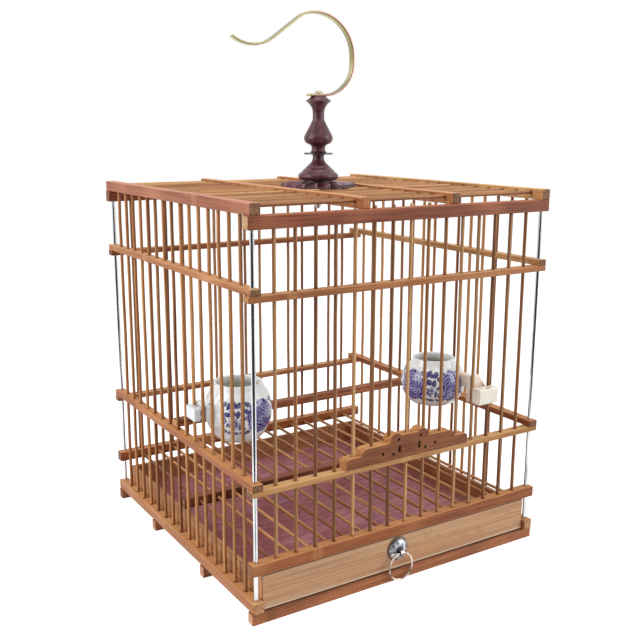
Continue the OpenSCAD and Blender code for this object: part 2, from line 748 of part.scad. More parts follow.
module pull_plate() color([0.84, 0.84, 0.85]) difference() {
    translate([pull_x, front_y, plate_z]) rotate([90, 0, 0]) difference() {
        rotate_extrude($fn = 64) polygon(concat([[0, 0], [plate_d / 2, 0], [plate_d / 2, plate_rim]],
            arc(0, plate_t - plate_dome, plate_dome, plate_edge, 90, 8)));
        translate([0, -pull_eye_drop, -bit]) cylinder(h = plate_t + 1, d = pin_d + 2 * glue_gap);
    }
    eye_disc(glue_gap);
}
plate_dome = swell(plate_t - plate_rim, plate_d / 2);
plate_edge = acos(plate_d / 2 / plate_dome);

pin_clear = 0.4;                     // the pin ends this far behind the eye's hole
module pull_eye() color([0.84, 0.84, 0.85]) {
    difference() {
        eye_disc(0);
        translate([pull_x, eye_y, pull_eye_z]) rotate([0, 90, 0])
            cylinder(h = pull_eye_w + 1, d = pull_hole_d, center = true);
    }
    translate([pull_x, front_y + pin_seat, pull_eye_z]) rotate([90, 0, 0])
        cylinder(h = front_y + pin_seat - eye_y - pull_hole_d / 2 - pin_clear, d = pin_d);
}
module pull_ring() color([0.86, 0.84, 0.80])
    translate([pull_x, eye_y, ring_z - ring_d / 2]) rotate([90, 0, 0])
        rotate_extrude($fn = 72) translate([ring_d / 2, 0]) circle(d = ring_wire, $fn = 24);

// finial

seat_gap = 0.05;                     // gap between the roof bars and what is clamped on them
z_roof = z_roof_bar + bar_d / 2 + seat_gap;
z_washer = z_roof + rosette_t;
z_lower = z_washer + washer_t;
z_disc = z_lower + cone_h;
z_upper = z_disc + disc_t;
z_strap = z_upper + upper_h;
bore_d = screw_d + 2 * screw_gap;

module bore() upright(finial_x, 0, z_nut - 1, z_strap + strap_t + 1, bore_d);

rosette_foot = 0.6;                  // bevel under its edge
module finial_rosette() color([0.36, 0.20, 0.24]) difference() {
    intersection() {
        translate([finial_x, 0, z_roof]) linear_extrude(rosette_t) union() {
            circle(rosette_r - petal_r, $fn = 96);
            for (k = [0 : petals - 1]) rotate(k * 360 / petals) translate([rosette_r - petal_r, 0]) circle(petal_r);
        }
        translate([finial_x, 0, z_roof]) rotate_extrude($fn = 96) polygon(concat(
            [[0, 0], [rosette_r - rosette_foot, 0], [rosette_r, rosette_foot]],
            arc(rosette_r - rosette_round, rosette_t - rosette_round, rosette_round, 0, 90, 6),
            [[0, rosette_t]]));
    }
    bore();
}
module finial_washer() color([0.55, 0.53, 0.52]) difference() {
    upright(finial_x, 0, z_washer, z_lower, 2 * washer_r);
    bore();
}
cone_neck_l = 2.2;                   // straight length of its neck
module finial_lower() color([0.36, 0.20, 0.24]) difference() {
    translate([finial_x, 0, z_lower]) rotate_extrude($fn = 72) polygon(concat(
        [[0, 0]],
        arc(cone_r - cone_round, cone_round - bit, cone_round, -70, 43, 8),
        arc(cone_neck_r + cone_hollow, cone_h - cone_neck_l, cone_hollow, 225, 180, 6),
        [[cone_neck_r, cone_h], [0, cone_h]]));
    bore();
}
module finial_disc() color([0.20, 0.16, 0.16]) difference() {
    upright(finial_x, 0, z_disc, z_upper, 2 * disc_r);
    bore();
}
neck_step = 0.3;                     // small step where the slope meets the long neck
rim_z = upper_h - rim_drop;
rim_t = 0.5;                         // thickness of its edge
crown_lip = 0.8;                     // height of the short cylinder over it
flare_a = acos((neck_r + flare_r - rim_r) / flare_r);
flare_z = rim_z - flare_r * sin(flare_a);
module finial_upper() color([0.36, 0.20, 0.24]) difference() {
    translate([finial_x, 0, z_upper]) rotate_extrude($fn = 72) polygon(concat(
        [[0, 0], [low_neck_r, 0], [low_neck_r, bulge_up - bulge_round]],
        arc(bulge_r - bulge_round, bulge_up, bulge_round, -72, 30, 10),
        [[neck_r + neck_step, slope_top]],
        arc(neck_r + flare_r, flare_z, flare_r, 180, 180 - flare_a, 8),
        [[rim_r, rim_z + rim_t], [crown_flat_r, upper_h - crown_lip], [crown_flat_r, upper_h], [0, upper_h]]));
    bore();
}

// hook: a flat strap bent along a chain of arcs that run on smoothly from one another

mid_z = strap_t / 2;
bend_c = [strap_toe, mid_z + bend_r];
crook_c = [strap_toe + bend_r - crook_r, mid_z + bend_r + strap_rise];
crown_at = 95;
run_at = 127;
tip_turn = 74;
crown_c = [crook_c[0] + (crook_r - crown_r) * cos(crown_at), crook_c[1] + (crook_r - crown_r) * sin(crown_at)];
run_end = [crown_c[0] + crown_r * cos(run_at) - strap_run * sin(run_at),
           crown_c[1] + crown_r * sin(run_at) + strap_run * cos(run_at)];
tip_c = [run_end[0] + tip_r * cos(run_at), run_end[1] + tip_r * sin(run_at)];
// one face of the strap, at the distance o outside the middle line
function strap_face(o) = concat(
    [[-strap_heel, mid_z - o]],
    arc(bend_c[0], bend_c[1], bend_r + o, -90, 0, 12),
    arc(crook_c[0], crook_c[1], crook_r + o, 0, crown_at, 14),
    arc(crown_c[0], crown_c[1], crown_r + o, crown_at + 4, run_at, 6),
    arc(tip_c[0], tip_c[1], tip_r - o, run_at + 180, run_at + 180 - tip_turn, 10));
function backwards(list) = [for (i = [len(list) - 1 : -1 : 0]) list[i]];

module hook_strap() color([0.80, 0.76, 0.56]) difference() {
    translate([finial_x, 0, z_strap]) rotate([0, 0, hook_turn]) rotate([90, 0, 0])
        translate([0, 0, -strap_w / 2]) linear_extrude(strap_w)
            polygon(concat(strap_face(strap_t / 2), backwards(strap_face(-strap_t / 2))));
    bore();
}

z_under = z_roof_bar - bar_d / 2 - seat_gap - under_t;
z_nut = z_under - nut_h;
screw_end = z_under - nut_bore;

module hook_screw() color([0.62, 0.60, 0.56]) difference() {
    union() {
        upright(finial_x, 0, screw_end, z_strap + strap_t + 0.5, screw_d);
        translate([finial_x, 0, z_strap + strap_t]) rotate_extrude()
            polygon(concat([[0, 0], [head_r, 0]],
                arc(0, head_h - head_dome, head_dome, acos(head_r / head_dome), 90, 6)));
    }
    translate([finial_x, 0, z_strap + strap_t + head_h]) rotate([0, 0, 35])
        cube([2 * head_r + 1, slot_w, 2 * slot_deep], center = true);
}
head_rim = 0.6;                      // height of the straight rim of its head
head_dome = swell(head_h - head_rim, head_r);

module under_plate() color([0.70, 0.46, 0.28]) difference() {
    translate([finial_x, 0, z_under]) linear_extrude(under_t) translate([0, -plate_under / 2])
        eased(plate_under, plate_under, 2);
    bore();
}

nut_tip_r = 1;
nut_bevel = 0.6;
// six-sided nut with a pointed cap
module cap_nut() color([0.62, 0.62, 0.62]) difference() {
    translate([finial_x, 0, z_nut]) intersection() {
        cylinder(h = nut_h, r = nut_r, $fn = 6);
        rotate_extrude() polygon([[0, 0], [nut_tip_r, 0], [nut_r, nut_h - nut_flat], [nut_r, nut_h - nut_bevel],
                                  [nut_r - nut_bevel, nut_h], [0, nut_h]]);
    }
    upright(finial_x, 0, screw_end - 0.5, z_under + 1, screw_d + 2 * glue_gap);
}

base_batten_front();
base_batten_mid_front();
base_batten_mid_back();
base_batten_back();
rail_foot_left();
rail_foot_right();
rail_sill_front();
rail_sill_back();
rail_floor_mid();
rail_low_front();
rail_low_back();
rail_low_left();
rail_low_right();
rail_high_front();
rail_high_back();
rail_high_left();
rail_high_right();
rail_top_front();
rail_top_back();
rail_cap_left();
rail_cap_right();
crossbar_left();
crossbar_right();
bars_left();
bars_right();
bars_back();
bars_front_left();
bars_front_right();
bars_front_low();
bars_roof();
bars_floor();
corner_rods();
door_board();
door_bars();
perch();
cup_left();
cup_right();
cup_lock_left();
cup_lock_right();
drawer_front();
drawer_left();
drawer_right();
drawer_back();
drawer_tray();
pull_plate();
pull_eye();
pull_ring();
finial_rosette();
finial_washer();
finial_lower();
finial_disc();
finial_upper();
hook_strap();
hook_screw();
under_plate();
cap_nut();
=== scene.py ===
import bmesh
import bpy
import math
from mathutils import Matrix, Vector


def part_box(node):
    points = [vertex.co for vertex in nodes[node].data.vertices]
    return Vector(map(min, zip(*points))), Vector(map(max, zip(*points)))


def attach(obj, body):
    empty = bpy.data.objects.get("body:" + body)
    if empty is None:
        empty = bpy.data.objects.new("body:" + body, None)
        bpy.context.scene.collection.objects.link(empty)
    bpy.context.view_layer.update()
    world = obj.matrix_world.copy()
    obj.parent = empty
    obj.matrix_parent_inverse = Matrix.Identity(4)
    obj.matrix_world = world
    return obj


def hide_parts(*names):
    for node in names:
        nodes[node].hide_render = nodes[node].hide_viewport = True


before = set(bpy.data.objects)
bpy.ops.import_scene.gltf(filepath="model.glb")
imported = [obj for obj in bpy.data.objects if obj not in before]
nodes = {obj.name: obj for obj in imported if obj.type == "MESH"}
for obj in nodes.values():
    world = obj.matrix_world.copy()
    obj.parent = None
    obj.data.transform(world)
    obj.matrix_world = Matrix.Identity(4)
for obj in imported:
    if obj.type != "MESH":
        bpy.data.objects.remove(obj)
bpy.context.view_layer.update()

scene = bpy.context.scene
mm = 0.001
print("cage: packed model loaded,", len(nodes), "nodes")


class Signal:
    # one output socket in arithmetic: each operator adds a Math node
    def __init__(self, desk, socket):
        self.desk, self.socket = desk, socket

    def __add__(self, other): return self.desk.maths("ADD", self, other)
    def __sub__(self, other): return self.desk.maths("SUBTRACT", self, other)
    def __rsub__(self, other): return self.desk.maths("SUBTRACT", other, self)
    def __mul__(self, other): return self.desk.maths("MULTIPLY", self, other)
    def __truediv__(self, other): return self.desk.maths("DIVIDE", self, other)
    def __abs__(self): return self.desk.maths("ABSOLUTE", self)
    __radd__ = __add__
    __rmul__ = __mul__


class Desk:
    # a node tree and the one method that adds nodes to it
    def __init__(self, tree):
        self.tree = tree

    def pick(self, sockets, key):
        if isinstance(key, int):
            return sockets[key]
        return next(s for s in sockets if s.name == key and s.enabled)

    def node(self, kind, settings=None, sockets=None, out=None):
        made = self.tree.nodes.new(kind)
        for name, value in (settings or {}).items():
            setattr(made, name, value)
        for key, value in (sockets or {}).items():
            self.feed(self.pick(made.inputs, key), value)
        if out is None:
            return Signal(self, next(s for s in made.outputs if s.enabled))
        return Signal(self, self.pick(made.outputs, out))

    def feed(self, socket, value):
        if isinstance(value, tuple) and any(isinstance(v, Signal) for v in value):
            value = self.node("ShaderNodeCombineXYZ", sockets=dict(zip("XYZ", value)))
        if isinstance(value, Signal):
            self.tree.links.new(value.socket, socket)
        else:
            socket.default_value = value

    def maths(self, operation, *values):
        return self.node("ShaderNodeMath", {"operation": operation}, dict(enumerate(values)))

    def larger(self, first, second):
        return self.maths("MAXIMUM", first, second)

    def length(self, a, b):
        return self.maths("SQRT", a * a + b * b)

    def split(self, vector):
        cut = self.node("ShaderNodeSeparateXYZ", sockets={"Vector": vector})
        return [Signal(self, s) for s in cut.socket.node.outputs]

    def ease(self, value, start, end):  # smooth step from 0 at the start to 1 at the end
        return self.node("ShaderNodeMapRange", {"interpolation_type": "SMOOTHSTEP"}, {
            "Value": value, "From Min": start, "From Max": end})

    def noise(self, vector, detail=2.0, rough=0.5, scale=1.0, out="Fac"):
        return self.node("ShaderNodeTexNoise", sockets={
            "Vector": vector, "Scale": scale, "Detail": detail, "Roughness": rough}, out=out)


def tint(colour):  # screen colour, 0 to 255, as a shader colour; a socket stays as it is
    if isinstance(colour, Signal):
        return colour
    parts = [v / 255 for v in colour]
    return (*(v / 12.92 if v <= 0.04045 else ((v + 0.055) / 1.055) ** 2.4 for v in parts), 1.0)


class Paint(Desk):
    # a material round its Principled shader; coats of colour lie one over another
    def __init__(self, name, base=None, **even):
        self.material = bpy.data.materials.new(name)
        self.material.use_nodes = True
        super().__init__(self.material.node_tree)
        self.shader = next(n for n in self.tree.nodes if n.type == "BSDF_PRINCIPLED")
        self.colour = base
        for key, value in even.items():
            self.shader.inputs[key.replace("_", " ")].default_value = value

    def here(self):
        return self.node("ShaderNodeTexCoord", out="Object")

    def facing(self):
        return self.split(self.node("ShaderNodeNewGeometry", out="Normal"))

    def mix(self, mask, first, second):
        return self.node("ShaderNodeMix", {"data_type": "RGBA"}, {
            "Factor": mask, "A": tint(first), "B": tint(second)})

    def coat(self, tone, value, start=None, end=None, amount=1.0):
        # a tone over the colour so far: by the value itself, or where it runs from start to end
        mask = value if start is None else self.ease(value, start, end)
        self.colour = self.mix(mask * amount, self.colour, tone)

    def done(self, roughness=None, relief=None, depth=0.05 * mm, strength=0.6):
        self.feed(self.shader.inputs["Base Color"], tint(self.colour))
        if roughness is not None:
            self.feed(self.shader.inputs["Roughness"], roughness)
        if relief is not None:
            self.feed(self.shader.inputs["Normal"], self.node("ShaderNodeBump", sockets={
                "Height": relief, "Distance": depth, "Strength": strength}))
        return self


def moved(x, y, z):  # millimetres
    return Matrix.Translation((x * mm, y * mm, z * mm))


def spun(degrees, axis):
    return Matrix.Rotation(math.radians(degrees), 4, axis)


still = Matrix.Identity(4)
upright = spun(90, "X")  # an outline in X and Y stands up in X and Z


def bend(x, y, radius, start, end, steps):
    # points on an arc, angles in degrees
    angles = [math.radians(start + (end - start) * i / steps) for i in range(steps + 1)]
    return [(x + radius * math.cos(a), y + radius * math.sin(a)) for a in angles]


def scaled(points):
    return [(x * mm, y * mm) for x, y in points]


def prism(bm, outline, low, high, place=still):
    # flat outline in X and Y, drawn up from low to high
    rows = [[bm.verts.new(place @ Vector((x, y, z))) for x, y in outline] for z in (low, high)]
    count = len(outline)
    for i in range(count):
        j = (i + 1) % count
        bm.faces.new((rows[0][i], rows[0][j], rows[1][j], rows[1][i]))
    bm.faces.new(rows[0][::-1])
    bm.faces.new(rows[1])


def block(bm, low, high, place=still):
    corners = ((low[0], low[1]), (high[0], low[1]), (high[0], high[1]), (low[0], high[1]))
    prism(bm, corners, low[2], high[2], place)


def turned(bm, profile, steps, place=still):
    # (radius, height) pairs turned round Z; a radius of 0 closes on one point
    rows = []
    for radius, height in profile:
        angles = [0] if radius == 0 else [2 * math.pi * i / steps for i in range(steps)]
        ring = [Vector((radius * math.cos(a), radius * math.sin(a), height)) for a in angles]
        rows.append([bm.verts.new(place @ corner) for corner in ring])
    for low, high in zip(rows, rows[1:]):
        for i in range(steps):
            j = (i + 1) % steps
            if len(low) == 1:
                bm.faces.new((low[0], high[j], high[i]))
            elif len(high) == 1:
                bm.faces.new((low[i], low[j], high[0]))
            else:
                bm.faces.new((low[i], low[j], high[j], high[i]))


def told(piece, body, replaced):
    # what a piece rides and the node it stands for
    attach(piece, body)
    if replaced:
        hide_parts(*replaced)


def settled(name, bm, body, paint, replaced=(), soft=0.0, sharp=40, place=still):
    # a finished piece from a bmesh, with softened edges where asked for
    bmesh.ops.recalc_face_normals(bm, faces=bm.faces)
    mesh = bpy.data.meshes.new(name)
    bm.to_mesh(mesh)
    bm.free()
    mesh.transform(place)
    mesh.shade_smooth()
    if sharp:
        mesh.set_sharp_from_angle(angle=math.radians(sharp))
    mesh.materials.append(paint.material)
    piece = bpy.data.objects.new(name, mesh)
    scene.collection.objects.link(piece)
    if soft:
        bevel = piece.modifiers.new("soft", "BEVEL")
        bevel.width, bevel.segments, bevel.limit_method = soft, 3, "ANGLE"
        bevel.angle_limit = math.radians(35)
        bevel.harden_normals = True
    told(piece, body, replaced)


def stick(name, node, body, paint, soft):
    # a plain piece of the size of its node
    bm = bmesh.new()
    block(bm, *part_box(node))
    settled(name, bm, body, paint, (node,), soft=soft)


def emptyTree(name, wanted):
    # a geometry tree with its named inputs, as a desk and the inputs' signals
    tree = bpy.data.node_groups.new(name, "GeometryNodeTree")
    tree.interface.new_socket("Geometry", in_out="OUTPUT", socket_type="NodeSocketGeometry")
    for key, kind in wanted.items():
        tree.interface.new_socket(key, in_out="INPUT", socket_type="NodeSocket" + kind)
    desk = Desk(tree)
    inlet = tree.nodes.new("NodeGroupInput")
    return desk, {key: Signal(desk, inlet.outputs[key]) for key in wanted}


def closed(desk, made, finish):
    made = desk.node("GeometryNodeRealizeInstances", sockets={"Geometry": made})
    made = desk.node("GeometryNodeSetMaterial", sockets={"Geometry": made, "Material": finish})
    desk.tree.links.new(made.socket, desk.tree.nodes.new("NodeGroupOutput").inputs[0])
    return desk.tree


def grown(name, node, body, tree, values, place=still, start=None):
    # runs a geometry tree once and keeps the result as a plain mesh at its place
    host = bpy.data.objects.new(name + "Host", start or bpy.data.meshes.new(name + "Host"))
    scene.collection.objects.link(host)
    maker = host.modifiers.new("grow", "NODES")
    maker.node_group = tree
    for socket in tree.interface.items_tree:
        if socket.item_type == "SOCKET" and socket.in_out == "INPUT" and socket.name in values:
            maker[socket.identifier] = values[socket.name]
    ready = host.evaluated_get(bpy.context.evaluated_depsgraph_get())
    mesh = bpy.data.meshes.new_from_object(ready)
    bpy.data.objects.remove(host)
    mesh.name = name
    mesh.transform(place)
    piece = bpy.data.objects.new(name, mesh)
    scene.collection.objects.link(piece)
    told(piece, body, (node,))
    return piece


# bars

barSizes = {
    "pitch": 15 * mm,
    "diameter": 2.5 * mm,
    "bow": 0.55 * mm,            # how far a bar strays sideways between two rails
    "rounds": 12,
    "steps": 44,
    "jointHalf": 0.085,          # half the way from one joint of the cane to the next
    "roof": 0.271, "floor": 0.038, "wall": 0.120,
}
# pale, main and deep colour, then which way round a bar the pale skin of the cane mostly faces (radians),
# and by how much that varies; it faces the light, so the pale side is partly painted light and the far side
# painted shade
barLook = {
    "side": ((214, 158, 100), (174, 114, 64), (106, 54, 30), 1.57, 0.9),
    "front": ((226, 180, 126), (184, 130, 80), (110, 66, 40), -0.6, 1.2),
    "back": ((204, 150, 102), (154, 96, 60), (90, 44, 28), -1.57, 1.6),
    "roof": ((220, 168, 112), (190, 136, 86), (136, 84, 48), 0.0, 3.14),
    "floor": ((222, 166, 110), (168, 106, 60), (84, 40, 22), -1.2, 1.2),
}


def barPaint(name, pale, main, deep):
    paint = Paint(name, deep, Coat_Weight=0.06, Coat_Roughness=0.3, Specular_IOR_Level=0.28)
    grain, tone, skin = (paint.node("ShaderNodeAttribute", {"attribute_name": key}, out=out)
                         for key, out in (("grain", "Vector"), ("tone", "Fac"), ("skin", "Fac")))
    x, y, z = paint.split(grain)
    strands = paint.noise((x * 2300, y * 2300, z * 26), 3, 0.6)
    clouds = paint.noise((x * 90, y * 90, z * 11))
    paint.coat(main, tone, 0.15, 0.85)
    paint.coat(main, clouds, 0.36, 0.68, 0.6)
    # the pale skin side doubles as painted light, and its far side as painted shade
    paint.coat(pale, skin + (clouds - 0.5) * 1.2, 0.1, 0.7, 0.35 + 0.5 * tone)
    paint.coat(deep, skin + (clouds - 0.5) * 0.8, -0.25, -0.8, 0.5)
    paint.coat(deep, strands, 0.58, 0.36, 0.5)
    joint = abs(paint.maths("WRAP", z, -barSizes["jointHalf"], barSizes["jointHalf"]))
    paint.coat(deep, joint, 0.0016, 0.0004, 0.35)
    return paint.done(0.38 + 0.25 * strands, strands, 0.03 * mm)


def barRowTree():
    holdNames = ["Hold " + letter for letter in "ABCD"]
    lengths = ("Pitch", "Diameter", "Start", "End", "Bow", "Lit Skin Turn", "Lit Skin Spread", *holdNames)
    desk, given = emptyTree("barRow", {
        **dict.fromkeys(("Count", "Rounds", "Steps", "Seed"), "Int"), **dict.fromkeys(lengths, "Float"),
        "Finish": "Material"})
    start, end, pitch = given["Start"], given["End"], given["Pitch"]
    radius = given["Diameter"] * 0.5
    line = desk.node("GeometryNodeMeshLine", {"mode": "OFFSET"}, {
        "Count": given["Count"], "Start Location": ((given["Count"] - 1) * pitch * -0.5, 0, 0),
        "Offset": (pitch, 0, 0)})
    numbered = desk.node("GeometryNodeStoreNamedAttribute", {"data_type": "FLOAT", "domain": "POINT"}, {
        "Geometry": line, "Name": "bar", "Value": desk.node("GeometryNodeInputIndex")})
    rod = desk.node("GeometryNodeMeshCylinder", {"fill_type": "NGON"}, {
        "Vertices": given["Rounds"], "Side Segments": given["Steps"], "Radius": radius,
        "Depth": end - start}, out="Mesh")
    rod = desk.node("GeometryNodeTransform", sockets={
        "Geometry": rod, "Translation": (0, 0, (end + start) * 0.5)})
    rod = desk.node("GeometryNodeStoreNamedAttribute", {"data_type": "FLOAT_VECTOR", "domain": "POINT"}, {
        "Geometry": rod, "Name": "section", "Value": desk.node("GeometryNodeInputPosition")})
    row = desk.node("GeometryNodeInstanceOnPoints", sockets={"Points": numbered, "Instance": rod})
    row = desk.node("GeometryNodeRealizeInstances", sockets={"Geometry": row})
    bar, section = (desk.node("GeometryNodeInputNamedAttribute", {"data_type": kind}, {"Name": key},
                              out="Attribute")
                    for kind, key in (("FLOAT", "bar"), ("FLOAT_VECTOR", "section")))
    x, y, z = desk.split(section)

    def chance(low, high, extra):
        return desk.node("FunctionNodeRandomValue", {"data_type": "FLOAT"}, {
            "Min": low, "Max": high, "ID": bar, "Seed": given["Seed"] + extra})

    # a bar strays only between the rails that hold it
    free = 1
    for name in holdNames:
        free = desk.ease(abs(z - given[name]), 5 * mm, 26 * mm) * free
    drift = desk.noise((bar * 3.71, given["Seed"] * 1.37, z * 11), 1, out="Color")
    driftX, driftY, driftZ = desk.split(drift)
    thin = (driftZ - 0.5) * free * 0.16
    bow = 2 * given["Bow"] * free
    row = desk.node("GeometryNodeSetPosition", sockets={
        "Geometry": row, "Offset": ((driftX - 0.5) * bow + x * thin, (driftY - 0.5) * bow + y * thin, 0)})
    # the pale skin is turned towards the light that falls on each row, as painted light
    turn = given["Lit Skin Turn"] + chance(-1.0, 1.0, 11) * given["Lit Skin Spread"]
    skin = (x * desk.maths("COSINE", turn) + y * desk.maths("SINE", turn)) / radius
    for name, kind, value in (("tone", "FLOAT", chance(0.0, 1.0, 5)), ("skin", "FLOAT", skin),
                              ("grain", "FLOAT_VECTOR", (x, y, z + bar * 0.413))):
        row = desk.node("GeometryNodeStoreNamedAttribute", {"data_type": kind, "domain": "POINT"}, {
            "Geometry": row, "Name": name, "Value": value})
    row = desk.node("GeometryNodeSetShadeSmooth", sockets={"Geometry": row})
    return closed(desk, row, given["Finish"])


turnedToY = spun(90, "Z")                # row along Y, bars upright
lyingY = spun(-90, "X")                  # row along X, bars along Y
lyingX = spun(90, "Z") @ lyingY          # row along Y, bars along X
wall, away = barSizes["wall"], -9        # away: no rail holds the bar there
wallHolds = (0.040, 0.0906, 0.2155, 0.262)
sideHolds = (0.0125, 0.095, 0.2199, 0.269)
atWall, atRoof, atFloor = moved(0, -120, 0), moved(0, 0, 271), moved(0, 0, 38)
barRows = {  # count, start, end, holds, place, tone, seed, how much they may stray
    "bars_left": (15, 0.0126, 0.2690, sideHolds, moved(-120, 0, 0) @ turnedToY, "side", 3, 1.0),
    "bars_right": (15, 0.0126, 0.2690, sideHolds, moved(120, 0, 0) @ turnedToY, "side", 29, 1.0),
    "bars_back": (15, 0.0395, 0.2604, wallHolds, moved(0, 120, 0), "back", 41, 1.0),
    "bars_front_left": (5, 0.0395, 0.2604, wallHolds, moved(-75, -120, 0), "front", 52, 0.6),
    "bars_front_right": (5, 0.0395, 0.2604, wallHolds, moved(75, -120, 0), "front", 68, 0.6),
    "bars_front_low": (5, 0.0395, 0.0915, (0.040, 0.0906, away, away), atWall, "front", 74, 0.8),
    "bars_roof": (16, -0.1192, 0.1192, (-wall, -0.0375, 0.0375, wall), atRoof @ lyingX, "roof", 83, 0.8),
    "bars_floor": (15, -0.1182, 0.1182, (-wall, 0.0, wall, away), atFloor @ lyingY, "floor", 95, 1.0),
    "door_bars": (5, 0.0966, 0.2681, (0.1000, 0.2155, 0.262, away), atWall, "front", 107, 0.25),
}
barPaints = {tone: barPaint(tone + "BarBamboo", *look[:3]) for tone, look in barLook.items()}
barRow = barRowTree()
for node, (count, start, end, holds, place, tone, seed, stray) in barRows.items():
    body = "door" if node == "door_bars" else "cage"
    grown(node.replace("_", "") + "Row", node, body, barRow, {
        "Count": count, "Pitch": barSizes["pitch"], "Diameter": barSizes["diameter"],
        "Start": start, "End": end, "Bow": barSizes["bow"] * stray,
        "Lit Skin Turn": barLook[tone][3], "Lit Skin Spread": barLook[tone][4],
        **{"Hold " + letter: hold for letter, hold in zip("ABCD", holds)},
        "Rounds": barSizes["rounds"], "Steps": barSizes["steps"], "Seed": seed,
        "Finish": barPaints[tone].material}, place)
print("cage: bars grown")


# bamboo rails

railLook = {
    "fibrePitch": 0.55 * mm,     # across one bundle of fibres
    "fibreDepth": 0.05 * mm,
    "knotHalf": 0.185,           # half the way from one joint of the cane to the next
    "endDot": 0.9 * mm,
    "endCut": (124, 88, 62),     # sawn ends, where railEnds has no paler one
    "holeShadeRim": 0.9 * mm,         # width of the dark rim round a bar: burn, with painted shade in the gap
    "gloss": 0.42,
    "wax": 0.05,
    "ease": 0.5 * mm,            # rounding of the edges
}
railKinds = {  # front and side colour, top colour (paler as painted light from above; dark on the battens, as painted shade beside the drawer), deep streak colour
    "plum": ((150, 80, 46), (190, 118, 84), (92, 42, 24)),
    "rose": ((168, 104, 74), (198, 136, 106), (118, 62, 40)),
    "amber": ((184, 122, 74), (216, 162, 110), (126, 70, 38)),
    "gold": ((200, 150, 94), (226, 178, 120), (146, 94, 50)),
    "rust": ((170, 100, 56), (210, 150, 94), (108, 54, 28)),
    "batten": ((192, 124, 80), (74, 40, 25), (134, 74, 44)),
    "umber": ((112, 56, 34), (146, 82, 50), (66, 30, 18)),
}
railEnds = {
    "rail_top_front": (212, 170, 126), "rail_floor_mid": (200, 152, 108), "rail_high_front": (186, 132, 86),
    "rail_foot_right": (206, 156, 118), "rail_foot_left": (206, 156, 114), "crossbar_left": (196, 132, 84),
    "base_batten_front": (220, 168, 132), "base_batten_mid_front": (216, 164, 128),
    "base_batten_mid_back": (196, 146, 110),
}
# pitch, shift and which way the bars that enter a rail run: up, or level at a height
uprights = (barSizes["pitch"], 0.0, "up")
roofBars = (barSizes["pitch"], barSizes["pitch"] / 2, barSizes["roof"])
floorBars = (barSizes["pitch"], 0.0, barSizes["floor"])
railPlan = {  # kind, way it runs, seed, bars that enter it
    "base_batten_front": ("batten", "x", 1.0, None),
    "base_batten_mid_front": ("batten", "x", 2.3, None),
    "base_batten_mid_back": ("batten", "x", 3.1, None),
    "base_batten_back": ("batten", "x", 4.7, None),
    "rail_foot_left": ("amber", "y", 5.2, uprights),
    "rail_foot_right": ("amber", "y", 6.9, uprights),
    "rail_sill_front": ("rust", "x", 7.4, uprights),
    "rail_sill_back": ("rust", "x", 8.8, uprights),
    "rail_floor_mid": ("umber", "x", 9.5, floorBars),
    "rail_low_front": ("gold", "x", 10.1, uprights),
    "rail_low_back": ("amber", "x", 11.6, uprights),
    "rail_low_left": ("rust", "y", 12.2, uprights),
    "rail_low_right": ("rust", "y", 13.7, uprights),
    "rail_high_front": ("amber", "x", 14.3, uprights),
    "rail_high_back": ("rust", "x", 15.9, uprights),
    "rail_high_left": ("amber", "y", 16.4, uprights),
    "rail_high_right": ("gold", "y", 17.8, uprights),
    "rail_top_front": ("plum", "x", 18.5, uprights),
    "rail_top_back": ("plum", "x", 19.2, uprights),
    "rail_cap_left": ("rose", "y", 20.6, roofBars),
    "rail_cap_right": ("gold", "y", 21.1, roofBars),
    "crossbar_left": ("amber", "y", 22.9, roofBars),
    "crossbar_right": ("amber", "y", 23.3, roofBars),
    "under_plate": ("rust", "x", 24.4, None),
}


